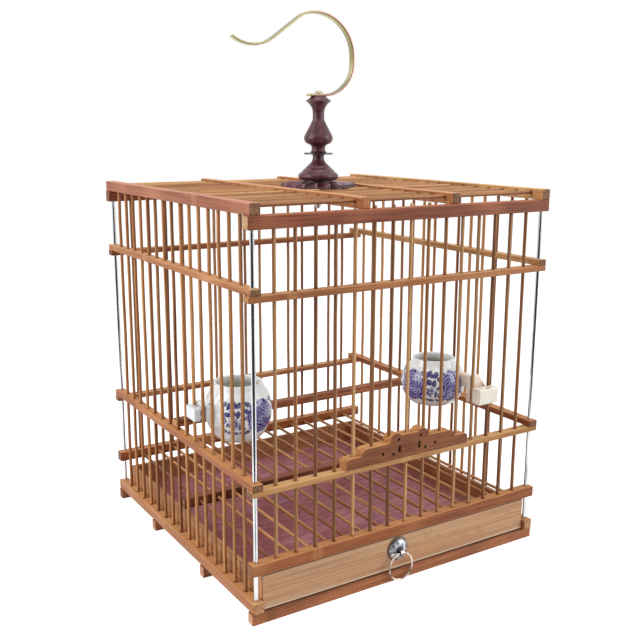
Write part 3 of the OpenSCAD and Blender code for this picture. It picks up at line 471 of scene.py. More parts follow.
def bambooPaint(node, kind, lengthwise, seed, bars):
    side, top, deep = railKinds[kind]
    paint = Paint(node + "Bamboo", deep, Coat_Weight=railLook["wax"], Coat_Roughness=0.3,
                  Specular_IOR_Level=0.25)
    low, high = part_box(node)
    middle, half = (low + high) / 2, (high - low) / 2
    x, y, z = paint.split(paint.here())
    facingX, facingY, facingZ = paint.facing()
    run, facingRun, across, acrossMid, acrossHalf = (
        (x, facingX, y, middle.y, half.y) if lengthwise == "x" else (y, facingY, x, middle.x, half.x))
    up, out = z - middle.z, across - acrossMid
    fine, broad, soft = 1 / railLook["fibrePitch"], 0.22 / railLook["fibrePitch"], 40  # waves a metre
    strands = paint.noise((run * 22 + seed, out * fine, up * fine), 3, 0.6)
    bands = paint.noise((run * 9 + seed * 3, out * broad, up * broad))
    clouds = paint.noise((run * 16 - seed, out * soft, up * soft))
    endways = paint.ease(abs(facingRun), 0.6, 0.9)
    lengthways = 1 - endways
    paint.coat(side, strands, 0.40, 0.66)
    paint.coat(side, bands, 0.35, 0.7, 0.55)
    paint.coat(top, clouds, 0.45, 0.75, 0.45)
    # upward faces take the top colour: painted light from above, and painted shade on the battens
    paint.coat(paint.mix(paint.ease(strands, 0.3, 0.62) * 0.8 + 0.2, side, top), facingZ, 0.45, 0.9, 0.85)
    # joints of the cane: a thin dark line across with a paler swelling beside it
    wobble = paint.noise((out * 150, up * 150, seed), 1) * (1.6 * mm)
    knot = abs(paint.maths("WRAP", run + seed * 0.11 + wobble, -railLook["knotHalf"], railLook["knotHalf"]))
    paint.coat(top, knot, 6 * mm, 1 * mm, 0.35)
    paint.coat(deep, knot, 0.8 * mm, 0.2 * mm, 0.4 * lengthways)
    # long edges pale, partly rubbed and partly painted highlight; the lower one painted shade, next to
    # whatever it lies on
    fromSide, fromTop = acrossHalf - abs(out), half.z - abs(up)
    rubbedHighlight = paint.ease(paint.larger(fromSide, fromTop), 0.9 * mm, 0.25 * mm)
    paint.coat(top, rubbedHighlight * paint.ease(clouds, 0.3, 0.6), amount=0.5 * lengthways)
    paint.coat(deep, up + half.z, 0.9 * mm, 0.1 * mm, 0.5)
    # sawn ends show the cut bundles as dots
    dots = paint.node("ShaderNodeTexVoronoi", sockets={
        "Vector": paint.here(), "Scale": 1 / railLook["endDot"], "Randomness": 0.85}, out="Distance")
    specks = paint.noise(paint.here(), 2, 0.6, 1 / railLook["endDot"])
    end = paint.mix(paint.ease(dots, 0.48, 0.26) * 0.85, railEnds.get(node, railLook["endCut"]), (62, 38, 26))
    end = paint.mix(paint.ease(clouds, 0.35, 0.7) * 0.25, end, side)
    end = paint.mix(paint.ease(specks, 0.56, 0.68) * 0.5, end, (206, 170, 130))
    # painted shade round the rim of each end face, where it meets the next part
    endShade = paint.maths("MINIMUM", fromSide, fromTop)
    end = paint.mix(paint.ease(endShade, 0.8 * mm, 0.1 * mm) * 0.7, end, (58, 30, 20))
    paint.coat(end, endways)
    if bars:  # burnt rims of the bar holes, with painted shade in the gap round each bar
        pitch, shift, way = bars
        slot = paint.maths("WRAP", run - shift, -pitch / 2, pitch / 2)
        far = paint.length(slot, out if way == "up" else z - way)
        rim = paint.ease(far, 1.2 * mm + railLook["holeShadeRim"], 1.15 * mm)
        if way != "up" and abs(acrossMid) > 0.1:  # the top side rails are drilled from inside only
            rim = rim * paint.ease(facingX * (-1 if acrossMid > 0 else 1), 0.3, 0.7)
        paint.coat((44, 20, 12), rim, amount=0.8)
    return paint.done(railLook["gloss"] + 0.22 * strands + 0.2 * endways, strands * (1 - endways * 0.6),
                      railLook["fibreDepth"], 0.7)


for name, plan in railPlan.items():
    paint = bambooPaint(name, *plan)
    nodes[name].data.materials[0] = paint.material
    stick(name.replace("_", "") + "Stick", name, "cage", paint, railLook["ease"])
print("cage: rails")


# perch

perchLook = {
    "round": 1.3 * mm,
    "dark": (116, 62, 38), "light": (184, 114, 68), "end": (160, 112, 78), "ring": (212, 164, 118),
}


def perchPaint():
    paint = Paint("perchWood", perchLook["dark"], Roughness=0.5, Coat_Weight=0.05, Coat_Roughness=0.35,
                  Specular_IOR_Level=0.25)
    x, y, z = paint.split(paint.here())
    grain = paint.noise((x * 14, y * 700, z * 700), 3, 0.6)
    clouds = paint.noise((x * 30, y * 60, z * 60))
    paint.coat(perchLook["light"], grain + (clouds - 0.5) * 0.5, 0.34, 0.68)
    rings = paint.noise((x, y * 500, z * 500), 3, 0.6)
    ends = paint.mix(paint.ease(rings, 0.35, 0.65), perchLook["end"], perchLook["ring"])
    paint.coat(ends, abs(paint.facing()[0]), 0.6, 0.9)
    return paint.done(None, grain, 0.06 * mm, 0.7)


stick("perchStick", "perch", "cage", perchPaint(), perchLook["round"])


# carved door board

boardLook = {
    "ease": 0.45 * mm,
    "front": (141, 85, 51), "deep": (108, 59, 35), "holeShade": (34, 16, 10),
    "edge": (218, 160, 98), "edgeDeep": (176, 112, 66),
    # bored eyes and keyholes of one half: across from the middle, up from the foot, radius, in mm
    "holes": ((9.5, 14, 1.05), (14, 4.3, 1.05), (22.9, 5.9, 1.05), (8.6, 8.5, 1.1), (8.6, 6.0, 1.4)),
}


def boardPaint():
    paint = Paint("boardWood", boardLook["deep"], Roughness=0.5, Coat_Weight=0.04, Coat_Roughness=0.35,
                  Specular_IOR_Level=0.22)
    x, y, z = paint.split(paint.here())
    grain = paint.noise((x * 30, y * 600, z * 900), 3, 0.6)
    clouds = paint.noise((x * 60, y * 60, z * 110))
    paint.coat(boardLook["front"], grain * 0.6 + clouds * 0.4, 0.34, 0.64)
    facingX, facingY, facingZ = paint.facing()
    # faces that look up or sideways painted light golden, as lit
    rim = paint.larger(paint.ease(facingZ, 0.2, 0.75), paint.ease(abs(facingX), 0.5, 0.9) * 0.85)
    paint.coat(paint.mix(paint.ease(grain, 0.35, 0.6), boardLook["edgeDeep"], boardLook["edge"]), rim)
    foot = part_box("door_board")[0].z
    # painted shade in and round each bored eye and keyhole
    for across, up, hole in boardLook["holes"]:
        far = paint.length(abs(x) - across * mm, z - (foot + up * mm))
        paint.coat(boardLook["holeShade"], far, (hole + 0.3) * mm, (hole - 0.1) * mm, 0.92)
    return paint.done(None, grain, 0.05 * mm, 0.7)


bm = bmesh.new()
bm.from_mesh(nodes["door_board"].data)
bmesh.ops.remove_doubles(bm, verts=bm.verts, dist=0.01 * mm)
bmesh.ops.dissolve_limit(bm, angle_limit=math.radians(1), verts=bm.verts, edges=bm.edges)
settled("carvedBoard", bm, "door", boardPaint(), ("door_board",), soft=boardLook["ease"],
        place=nodes["door_board"].matrix_world)
print("cage: perch and board")


# feeding cups

cupSizes = {  # millimetres, heights over the foot; then the pattern, in degrees round the axis: one blossom,
    # from one to the next, the decorated part; band: its lowest and highest point over the ground
    "left": {
        "axis": (-88.85, -37.5, 97.7), "belly": 24.2, "bellyUp": 21, "mouth": 17.8, "foot": 15,
        "height": 41.9, "blossom": -74, "apart": 95, "decorated": (-143, 150), "band": (105.5, 131.2)},
    "right": {
        "axis": (48.0, -89.45, 116.0), "belly": 23.6, "bellyUp": 15, "mouth": 15.7, "foot": 14.5,
        "height": 34.4, "blossom": -91, "apart": 80, "decorated": (-246, -66), "band": (121.2, 144.4)},
}
cupLook = {
    "wall": 2.2, "steps": 96,
    "glaze": (238, 240, 240), "clay": (204, 208, 211), "within": (226, 228, 212), "bareFoot": (186, 168, 148),
    "blue": (48, 42, 132), "deepBlue": (26, 21, 78), "wash": (136, 131, 188),
}


def bowlProfile(size):
    belly, up, mouth, foot, height = (size[k] for k in ("belly", "bellyUp", "mouth", "foot", "height"))

    def flank(edge, rise):  # an arc from the belly to an edge: middle, radius, angle
        radius = ((belly - edge) ** 2 + rise ** 2) / (2 * (belly - edge))
        return belly - radius, radius, math.degrees(math.asin(rise / radius))
    lowMid, lowRadius, lowAngle = flank(foot, up)
    topMid, topRadius, _ = flank(mouth, height - up)
    part = math.degrees(math.asin((height - up) * 0.62 / topRadius))
    outer = bend(lowMid, up, lowRadius, -lowAngle, 0, 14)[1:] + bend(topMid, up, topRadius, 0, part, 10)[1:]
    collar = [(mouth + out, height - down) for out, down in ((2.1, 5.6), (1.0, 3.9), (0.45, 2.4), (0.1, 1.2))]
    lip = bend(mouth - 1.0, height - 1.0, 1.0, 0, 180, 8)
    inner = [(mouth - 1.9, height - 3.5), (mouth - 0.8, height - 6.0)]
    lining = bend(topMid, up, topRadius, part, 0, 6) + bend(lowMid, up, lowRadius, 0, -lowAngle * 0.78, 8)[1:]
    inner += [(x - cupLook["wall"], z) for x, z in lining] + [(foot - 3.4, 3.2), (foot - 6.5, 2.7), (0, 2.6)]
    base = [(0, 1.0), (foot - 3.0, 1.0), (foot - 2.5, 0.2), (foot - 2.0, 0.0), (foot - 0.8, 0.0),
            (foot - 0.2, 0.4)]
    return base + outer + collar + lip + inner


# leaves between two blossoms: place along and up (share of the band), turn, length, width
cupLeaves = (
    (-5.0, 0.70, 60, 3.6, 2.0), (-1.5, 0.80, 112, 3.2, 1.9), (2.4, 0.76, 32, 3.6, 2.0),
    (5.6, 0.48, -42, 3.2, 1.7), (-5.8, 0.24, -12, 3.2, 1.8), (-2.2, 0.34, 140, 3.2, 2.0),
    (1.6, 0.26, 78, 3.2, 1.9), (5.2, -0.02, 20, 2.8, 1.5), (-5.6, -0.34, 42, 2.8, 1.4),
    (2.9, -0.46, 72, 3.0, 1.5), (5.6, -0.56, 108, 2.8, 1.3), (-5.0, -0.84, 10, 3.0, 1.4),
    (-0.4, -0.86, -6, 3.2, 1.4), (4.4, -0.86, -22, 2.6, 1.2), (-8.8, 0.80, 20, 3.0, 1.7),
    (8.8, 0.78, 150, 3.2, 1.8), (8.6, -0.80, 30, 3.0, 1.5), (-8.6, -0.72, 130, 3.0, 1.5),
    (8.2, 0.38, 95, 2.6, 1.5), (-8.0, -0.1, 80, 2.6, 1.3),
)


def cupPaint(side):
    size = cupSizes[side]
    cx, cy, cz = (v * mm for v in size["axis"])
    first, last = (math.radians(v) for v in size["decorated"])
    bottom, top = size["band"]
    step, half, ahead = math.radians(size["apart"]), (top - bottom) / 2, (first + last) / 2
    blossomAt = math.radians(size["blossom"]) - ahead
    paint = Paint(side + "CupGlaze", cupLook["glaze"], Roughness=0.12, Coat_Weight=0.5, Coat_Roughness=0.05,
                  Specular_IOR_Level=0.5)
    x, y, z = paint.split(paint.here())
    dx, dy = x - cx, y - cy
    # the angle is counted from the middle of the decorated part
    c, s = math.cos(ahead), math.sin(ahead)
    angle = paint.maths("ARCTAN2", dy * c - dx * s, dx * c + dy * s)
    wobX, wobY, wobZ = paint.split(paint.noise((x * 420, y * 420, z * 420), 1, out="Color"))
    v = (z - (bottom + top) / 2 * mm) * (1 / mm) + (wobZ - 0.5) * 1.1

    def folded(start):  # millimetres along the belly from the nearest repeat
        return paint.maths("WRAP", angle - start, -step / 2, step / 2) * size["belly"]

    def blossom(u, w, wide, petals, turns):
        # ragged rings of petals round a middle, as brush strokes
        far = paint.length(u, w)
        scallop = abs(paint.maths("SINE", paint.maths("ARCTAN2", w, u) * (petals / 2) + far * 0.55))
        rings = paint.maths("FRACT", (far + scallop * 0.9) * (turns / wide))
        inside = paint.ease(far - scallop * 0.8, wide, wide - 0.35)
        return paint.ease(abs(rings - 0.5), 0.14, 0.26) * inside, inside

    def leaf(u, w, atU, atW, turn, long, wide):
        c, s = math.cos(math.radians(turn)), math.sin(math.radians(turn))
        du, dw = u - atU, w - atW
        a, b = (du * c + dw * s) * (1 / long), abs(dw * c - du * s)
        return paint.ease(wide * (1 - a * a) - b, 0.0, 0.25) * paint.ease(b, -0.06, 0.12)

    bloom, bloomDisc = blossom(folded(blossomAt) + (wobX - 0.5) * 2.6, v + (wobY - 0.5) * 2.2, half * 0.93,
                               9, 5.2)
    across = folded(blossomAt + step / 2) + (wobX - 0.5) * 0.8
    small, smallDisc = blossom(across + 1.4, v + half * 0.3, half * 0.27, 5, 1.4)
    sprig = paint.ease(abs(v + 0.5 + 2.4 * paint.maths("SINE", across * 0.62)), 0.5, 0.25) * 0.8
    for atU, atW, turn, long, wide in cupLeaves:
        sprig = paint.larger(sprig, leaf(across, v, atU, atW * half, turn, long, wide))
    sprig = sprig * (1 - bloomDisc) * (1 - smallDisc)
    drawn = paint.larger(paint.larger(bloom, small), sprig)
    wash = paint.larger(bloomDisc * 0.9, smallDisc * 0.5)  # pale, under the strokes
    spread = (last - first) / 2
    facingX, facingY = paint.facing()[:2]
    outward = paint.ease(facingX * dx + facingY * dy, -1 * mm, 1 * mm)
    banded = paint.ease(abs(v), half + 0.2, half - 0.3) * paint.ease(abs(angle), spread, spread - 0.02)
    within = banded * outward
    speckle = paint.noise((x * 900, y * 900, z * 900))
    clay = paint.noise((x * 60, y * 60, z * 60))
    paint.coat(cupLook["clay"], clay, 0.3, 0.7, 0.35)
    paint.coat(cupLook["wash"], wash * within)
    ink = paint.mix(paint.ease(speckle, 0.35, 0.65), cupLook["deepBlue"], cupLook["blue"])
    paint.coat(ink, drawn * within * (0.8 + 0.2 * paint.ease(speckle, 0.3, 0.6)))
    # unglazed foot; duller glaze inside, with painted shade deepening down into the hollow
    rim = cz + size["height"] * mm
    hollow = (1 - outward) * paint.ease(z, cz + 2 * mm, cz + 3 * mm)
    paint.coat(cupLook["bareFoot"], z, cz + 1.0 * mm, cz + 0.3 * mm, 0.7)
    paint.coat(cupLook["within"], hollow * paint.ease(z, rim - 1.5 * mm, rim - 7 * mm), amount=0.7)
    return paint.done(None, clay, 0.15 * mm, 0.5)


def earPaint(name, light, shade):
    paint = Paint(name, light, Roughness=0.2, Coat_Weight=0.4, Coat_Roughness=0.1)
    paint.coat(shade, paint.noise(paint.here(), scale=90), 0.35, 0.65)
    return paint.done(None, paint.noise(paint.here(), scale=160), 0.12 * mm, 0.5)


for side, size in cupSizes.items():
    bm = bmesh.new()
    turned(bm, scaled(bowlProfile(size)), cupLook["steps"], moved(*size["axis"]))
    settled(side + "Bowl", bm, side + "_cup", cupPaint(side), ("cup_" + side,), sharp=0)

# arm, flange and peg of each cup; X runs to the wall
earSizes = {"armHalf": 3 * mm, "armEase": 1.4 * mm, "flangeEase": 1.1 * mm, "lockEase": 1.0 * mm}
leftPlace = moved(*cupSizes["left"]["axis"]) @ spun(180, "Z")
rightPlace = moved(*cupSizes["right"]["axis"]) @ spun(-90, "Z")
acrossWall = Matrix(((0, 0, 1, 0), (1, 0, 0, 0), (0, 1, 0, 0), (0, 0, 0, 1)))  # outline faces the wall
armHalf = earSizes["armHalf"]

leftEar = earPaint("leftEarGlaze", (234, 236, 236), (220, 224, 226))
bm = bmesh.new()
prism(bm, scaled(((21.6, 13.2), (26.5, 18.9), (26.5, 28.7), (19.0, 34.5))), -armHalf, armHalf,
      leftPlace @ upright)
settled("leftArm", bm, "left_cup", leftEar, soft=earSizes["armEase"])
bm = bmesh.new()
block(bm, Vector((25.6, -9, 17.8)) * mm, Vector((29.6, 9, 29.8)) * mm, leftPlace)
block(bm, Vector((28.6, -4, 21.3)) * mm, Vector((35.95, 4, 26.3)) * mm, leftPlace)
settled("leftFlange", bm, "left_cup", leftEar, soft=earSizes["flangeEase"])

rightEar = earPaint("rightEarGlaze", (242, 226, 208), (232, 210, 188))
slant = spun(math.degrees(math.atan2(19.5 - 3.6, 27.0)), "Z")  # from the cup's middle to the flange's
bm = bmesh.new()
prism(bm, scaled(((19.5, 17.0), (31.2, 12.5), (31.2, 23.5), (19.5, 26.0))), -armHalf, armHalf,
      rightPlace @ slant @ upright)
settled("rightArm", bm, "right_cup", rightEar, soft=earSizes["armEase"])
bm = bmesh.new()
prism(bm, scaled(((10.5, 4.5), (28.5, 4.5), (28.5, 12.5), (19.5, 24.5), (10.5, 24.5))), 25 * mm, 29 * mm,
      rightPlace @ acrossWall)
block(bm, Vector((28.0, 15.5, 8.0)) * mm, Vector((38.55, 23.5, 13.0)) * mm, rightPlace)
settled("rightFlange", bm, "right_cup", rightEar, soft=earSizes["flangeEase"])

for side, slot, tone, shade in (("left", "lock_blue", (224, 230, 234), (208, 216, 222)),
                                ("right", "lock_cream", (240, 232, 216), (230, 218, 198))):
    stick(side + "Lock", "cup_lock_" + side, side + "_lock", earPaint(side + "LockBone", tone, shade),
          earSizes["lockEase"])
print("cage: cups and locks")


# finial

finialLook = {
    "axis": 2.2, "steps": 80, "petals": 16,
    "rosetteUp": 272.3, "coneUp": 277.3, "bulbUp": 298.0, "hookUp": 340,
    "plum": (97, 54, 63), "deep": (70, 35, 43), "groove": (42, 14, 20), "crestHighlight": (196, 158, 166),
}


def plumPaint(name, fine, gloss, wearAndPaintedLight=0.0):
    paint = Paint(name, finialLook["deep"], Specular_IOR_Level=0.2, Coat_Weight=gloss, Coat_Roughness=0.14,
                  Coat_IOR=1.35)
    x, y, z = paint.split(paint.here())
    grain = paint.noise((x * 260, y * 260, z * fine), 3, 0.6)
    turns = paint.noise((0.3, 0.7, z * 1600), 1)
    paint.coat(finialLook["plum"], grain, 0.34, 0.66)
    if wearAndPaintedLight:  # painted shade in the petals' grooves, painted highlight along their crests and steep sides
        way = paint.maths("ARCTAN2", y, x - finialLook["axis"] * mm)
        place = paint.maths("FRACT", way * (finialLook["petals"] / 2 / math.pi) + 0.5)
        paint.coat(finialLook["groove"], place, 0.7, 0.25, 0.8)
        pale = paint.larger(paint.ease(place, 0.82, 0.92), paint.ease(paint.facing()[2], 0.7, 0.4) * 0.25)
        paint.coat(finialLook["crestHighlight"], pale, amount=wearAndPaintedLight)
    return paint.done(0.35 + 0.2 * grain, turns + grain * 0.3)


plum = plumPaint("plumWood", 40, 0.6)
cone = [(0, 0), (12.2, 0), (13.9, 0.35)] + bend(12.5, 3.0, 3.0, -55, 42, 10)
cone += [(13.2, 6.1), (13.0, 6.2), (12.8, 6.6), (9.9, 9.4), (9.6, 9.5), (9.4, 9.9)]
cone += bend(10.3, 17.3, 6.0, 225, 180, 8) + [(4.3, 18.4), (4.6, 18.6), (4.6, 19.5), (0, 19.5)]
bulb = [(0, 0), (5.8, 0), (6.1, 0.3), (6.1, 0.9), (5.5, 1.3), (5.2, 2.4), (5.2, 4.2), (5.6, 5.2), (6.3, 5.9)]
bulb += bend(6.5, 10.9, 4.6, -66, 30, 14)
bulb += [(9.9, 14.4), (8.0, 17.8), (6.2, 21.2), (4.95, 23.6), (4.6, 24.4), (4.4, 25.4)]
bulb += bend(14.4, 29.43, 10.0, 180, 119, 12) + [(9.75, 38.3), (9.6, 38.7), (8.4, 39.6), (6.9, 40.6)]
bulb += [(6.3, 41.1), (6.1, 41.3), (6.0, 41.8), (5.7, 42.0), (0, 42.0)]
for name, node, profile, rise in (("coneTurning", "finial_lower", cone, "coneUp"),
                                  ("bulbTurning", "finial_upper", bulb, "bulbUp")):
    bm = bmesh.new()
    turned(bm, scaled(profile), finialLook["steps"], moved(finialLook["axis"], 0, finialLook[rise]))
    settled(name, bm, "cage", plum, (node,), sharp=50)

petalSizes = {
    "inner": 10.0, "outer": 29.0, "tip": 5.0, "collar": 13.5, "thick": 3.4, "low": 0.15,
    "drop": 1.5, "lean": 1.5, "dome": 0.5, "fill": 0.95, "along": 12, "wide": 6,
}


def petalMesh():
    # one petal, lying along X, twisted so that one long edge is high
    bm = bmesh.new()
    inner, outer, tip, collar = (petalSizes[k] for k in ("inner", "outer", "tip", "collar"))
    along, wide = petalSizes["along"], petalSizes["wide"]
    tops, lows = [], []
    for i in range(along + 1):
        r = inner + (outer - inner) * i / along
        span = r * math.tan(math.pi / finialLook["petals"]) * petalSizes["fill"]
        if r > outer - tip:
            span = min(span, tip * math.sqrt(max(0.0, 1 - ((r - outer + tip) / tip) ** 2)) * 0.93 + 0.12)
        out = max(0.0, (r - collar) / (outer - collar))
        row = []
        for j in range(wide + 1):
            w = 2 * j / wide - 1
            twist = petalSizes["lean"] * min(1.0, out * 3) * (w - 0.45)
            rise = petalSizes["thick"] - petalSizes["drop"] * out + twist + petalSizes["dome"] * (1 - w * w)
            row.append((r, w * span, max(0.35, rise)))
        tops.append([bm.verts.new(Vector(p) * mm) for p in row])
        lows.append([bm.verts.new(Vector((x, y, petalSizes["low"])) * mm) for x, y, z in row])
    for i in range(along):
        for j in range(wide):
            bm.faces.new((tops[i][j], tops[i + 1][j], tops[i + 1][j + 1], tops[i][j + 1]))
        bm.faces.new((lows[i][0], lows[i + 1][0], tops[i + 1][0], tops[i][0]))
        bm.faces.new((tops[i][wide], tops[i + 1][wide], lows[i + 1][wide], lows[i][wide]))
    for j in range(wide):
        bm.faces.new((lows[along][j], lows[along][j + 1], tops[along][j + 1], tops[along][j]))
    mesh = bpy.data.meshes.new("petal")
    bm.to_mesh(mesh)
    bm.free()
    mesh.shade_smooth()
    mesh.set_sharp_from_angle(angle=math.radians(50))
    return mesh


def ringTree():
    # the given mesh repeated round Z
    desk, given = emptyTree("petalRing", {
        "Petal": "Geometry", "Count": "Int", "Unevenness": "Float", "Finish": "Material"})
    points = desk.node("GeometryNodeMeshLine", {"mode": "OFFSET"},
                       {"Count": given["Count"], "Offset": (0, 0, 0)})
    index = desk.node("GeometryNodeInputIndex")
    chance = desk.node("FunctionNodeRandomValue", {"data_type": "FLOAT"},
                       {"Min": -1.0, "Max": 1.0, "ID": index, "Seed": 7})
    turn = (index + chance * given["Unevenness"]) * (2 * math.pi) / given["Count"]
    ring = desk.node("GeometryNodeInstanceOnPoints", sockets={
        "Points": points, "Instance": given["Petal"], "Rotation": (0, 0, turn)})
    return closed(desk, ring, given["Finish"])


rosettePaint = plumPaint("rosetteWood", 400, 0.45, 0.6)
rosettePlace = moved(finialLook["axis"], 0, finialLook["rosetteUp"])
grown("rosettePetals", "finial_rosette", "cage", ringTree(), {
    "Count": finialLook["petals"], "Unevenness": 0.03, "Finish": rosettePaint.material},
    rosettePlace, petalMesh())
hub = [(0, 0.1), (23.8, 0.1), (23.8, 0.5), (13.6, 1.2), (13.2, 3.2), (12.4, 3.55), (0, 3.55)]
bm = bmesh.new()
turned(bm, scaled(hub), 72, rosettePlace)
settled("rosetteHub", bm, "cage", rosettePaint)
print("cage: finial")


# metal

hookSizes = {"width": 7 * mm, "thick": 1.8 * mm, "corner": 0.5 * mm, "turn": -10}
pullSizes = {
    "x": -6, "up": 23, "front": -121.5,              # middle of the plate, in mm
    "ringRadius": 10, "ringUp": 11.15, "ringFront": -125.4, "wire": 1.45 * mm,
}
plateProfile = [
    (0, 0), (8.0, 0), (8.0, 0.35), (7.85, 0.6), (7.5, 0.72), (7.1, 0.6), (6.9, 0.62), (6.2, 1.05), (5.2, 1.5),
    (4.2, 1.8), (3.4, 1.95), (3.2, 2.1), (2.9, 2.2), (2.4, 2.2), (0, 2.2)]
metalLook = {  # bright and dull colour, roughness, scale of the wear, how much it roughens
    "chrome": ((206, 203, 202), (112, 110, 114), 0.12, 420, 0.0),
    "ringNickel": ((238, 220, 206), (122, 104, 98), 0.2, 110, 0.0),
    "rodSteel": ((218, 221, 223), (196, 200, 205), 0.12, 60, 0.0),
    "screwZinc": ((206, 190, 150), (150, 136, 106), 0.25, 400, 0.2),
    "nutNickel": ((206, 206, 206), (160, 160, 160), 0.2, 300, 0.15),
    "washerSteel": ((104, 102, 96), (66, 64, 62), 0.45, 260, 0.2),
}


def metalPaint(name):
    bright, dull, roughness, scale, brushed = metalLook[name]
    paint = Paint(name, dull, Metallic=1.0, Roughness=roughness)
    wearAndPaintedLight = paint.noise(paint.here(), 3, 0.6, scale)
    paint.coat(bright, wearAndPaintedLight, 0.35, 0.65)
    if not brushed:
        return paint.done()
    scratches = paint.noise(paint.here(), 2, scale=scale * 6)
    return paint.done(roughness + brushed * paint.ease(wearAndPaintedLight, 0.3, 0.7), scratches, 0.01 * mm, 0.3)


def platePaint():
    # chrome, smudged, with painted shade in its groove, round the eye and along the rim
    paint = Paint("chromePlate", (124, 128, 134), Metallic=1.0)
    x, y, z = paint.split(paint.here())
    far = paint.length(x - pullSizes["x"] * mm, z - pullSizes["up"] * mm)
    smudge = paint.noise((x * 260, 0.2, z * 260), 1, 0.5)
    paint.coat((206, 207, 210), smudge, 0.42, 0.58)
    paint.coat((66, 62, 66), abs(far - 7.0 * mm), 0.55 * mm, 0.2 * mm, 0.75)
    paint.coat((52, 50, 52), far, 3.6 * mm, 2.9 * mm, 0.85)
    paint.coat((46, 38, 36), far, 7.5 * mm, 7.9 * mm, 0.75)
    return paint.done(0.2 + 0.15 * smudge)


def hookPaint():
    # yellow zinc: straw and olive on the broad faces, rosy on the narrow ones; painted dark reflection on
    # faces that look up, painted shade along the corners
    paint = Paint("yellowZinc", (186, 178, 124), Metallic=1.0)
    x, y, z = paint.split(paint.here())
    facingX, facingY, facingZ = paint.facing()
    turn = math.radians(hookSizes["turn"])
    edgeways = abs(facingY * math.cos(turn) - facingX * math.sin(turn))
    tints = paint.noise(paint.here(), 2, 0.5, 70)
    paint.coat((208, 198, 158), tints, 0.40, 0.62)
    olive = paint.ease(abs(z - 380 * mm), 22 * mm, 8 * mm) * paint.ease(x, 2 * mm, 14 * mm)
    paint.coat((132, 128, 72), olive * (0.5 + 0.5 * tints))
    paint.coat((104, 100, 82), facingZ, 0.25, 0.8, 0.8)
    rosy = paint.mix(paint.ease(x + (tints - 0.5) * (20 * mm), -12 * mm, 8 * mm), (214, 204, 158),
                     (190, 152, 136))
    paint.coat(rosy, edgeways, 0.7, 0.9)
    paint.coat((84, 68, 48), abs(edgeways - 0.6), 0.32, 0.12, 0.55)
    return paint.done(0.2 + 0.15 * paint.noise(paint.here(), 2, 0.5, 120))


def sweepTree():
    # a path in the XY plane swept with a rounded section
    desk, given = emptyTree("strapSweep", {
        "Path": "Geometry", "Thickness": "Float", "Width": "Float", "Corner": "Float",
        "Corner Steps": "Int", "Finish": "Material"})
    curve = desk.node("GeometryNodeMeshToCurve", sockets={"Mesh": given["Path"]})
    curve = desk.node("GeometryNodeSetCurveNormal", {"mode": "Z_UP"}, {"Curve": curve})
    section = desk.node("GeometryNodeCurvePrimitiveQuadrilateral", {"mode": "RECTANGLE"}, {
        "Width": given["Thickness"], "Height": given["Width"]})
    section = desk.node("GeometryNodeFilletCurve", {"mode": "POLY"}, {
        "Curve": section, "Count": given["Corner Steps"], "Radius": given["Corner"]})
    strap = desk.node("GeometryNodeCurveToMesh",
                      sockets={"Curve": curve, "Profile Curve": section, "Fill Caps": True})
    strap = desk.node("GeometryNodeSetShadeSmooth", sockets={"Geometry": strap})
    return closed(desk, strap, given["Finish"])


def pathMesh(points, closing=False):
    count = len(points)
    edges = [(i, (i + 1) % count) for i in range(count if closing else count - 1)]
    mesh = bpy.data.meshes.new("path")
    mesh.from_pydata([(x, y, 0) for x, y in points], edges, [])
    return mesh


sweep = sweepTree()
hookPath = [(-8.4, 0.9)] + bend(4, 24.4, 23.5, -90, 0, 22) + bend(-3.5, 29.4, 31, 0, 95, 26)
hookPath += bend(-4.459, 40.358, 20, 99, 127, 8) + [(-26.48, 48.81)] + bend(-52.108, 62.050, 26, 307, 233, 18)
hook = grown("strapHook", "hook_strap", "hook", sweep, {
    "Thickness": hookSizes["thick"], "Width": hookSizes["width"], "Corner": hookSizes["corner"],
    "Corner Steps": 4, "Finish": hookPaint().material},
    moved(finialLook["axis"], 0, finialLook["hookUp"]) @ spun(hookSizes["turn"], "Z") @ upright,
    pathMesh(scaled(hookPath)))
hook.data.set_sharp_from_angle(angle=math.radians(60))

ringPath = bend(0, 0, pullSizes["ringRadius"], 0, 352.5, 47)
grown("pullRing", "pull_ring", "ring", sweep, {
    "Thickness": pullSizes["wire"], "Width": pullSizes["wire"], "Corner": 0.72 * mm, "Corner Steps": 4,
    "Finish": metalPaint("ringNickel").material},
    moved(pullSizes["x"], pullSizes["ringFront"], pullSizes["ringUp"]) @ upright,
    pathMesh(scaled(ringPath), True))

bm = bmesh.new()
turned(bm, scaled(plateProfile), 64, moved(pullSizes["x"], pullSizes["front"], pullSizes["up"]) @ upright)
settled("pullPlate", bm, "drawer", platePaint(), ("pull_plate",), sharp=50)
for node, metal in (("pull_eye", "chrome"), ("corner_rods", "rodSteel"), ("hook_screw", "screwZinc"),
                    ("cap_nut", "nutNickel"), ("finial_washer", "washerSteel")):
    nodes[node].data.materials[0] = metalPaint(metal).material
discPaint = Paint("darkDisc", (34, 28, 32), Roughness=0.35, Coat_Weight=0.3)
discPaint.coat((66, 56, 60), discPaint.noise(discPaint.here(), scale=200))
nodes["finial_disc"].data.materials[0] = discPaint.done().material
print("cage: metal")


# drawer

drawerLook = {
    "ease": 0.5 * mm,
    "end": (208, 146, 102), "rubbedHighlight": (236, 220, 194),
    "gap": (58, 34, 24), "shade": (72, 38, 25), "plateShadow": (66, 36, 25),
    # main colour, streaks, pale bands
    "front": ((206, 162, 124), (172, 126, 92), (222, 186, 148)),
    # the side boards darker than the front, as painted shade inside the drawer
    "side": ((174, 118, 74), (124, 76, 44), (200, 150, 104)),
    "back": ((182, 130, 90), (140, 92, 60), (204, 156, 114)),
}


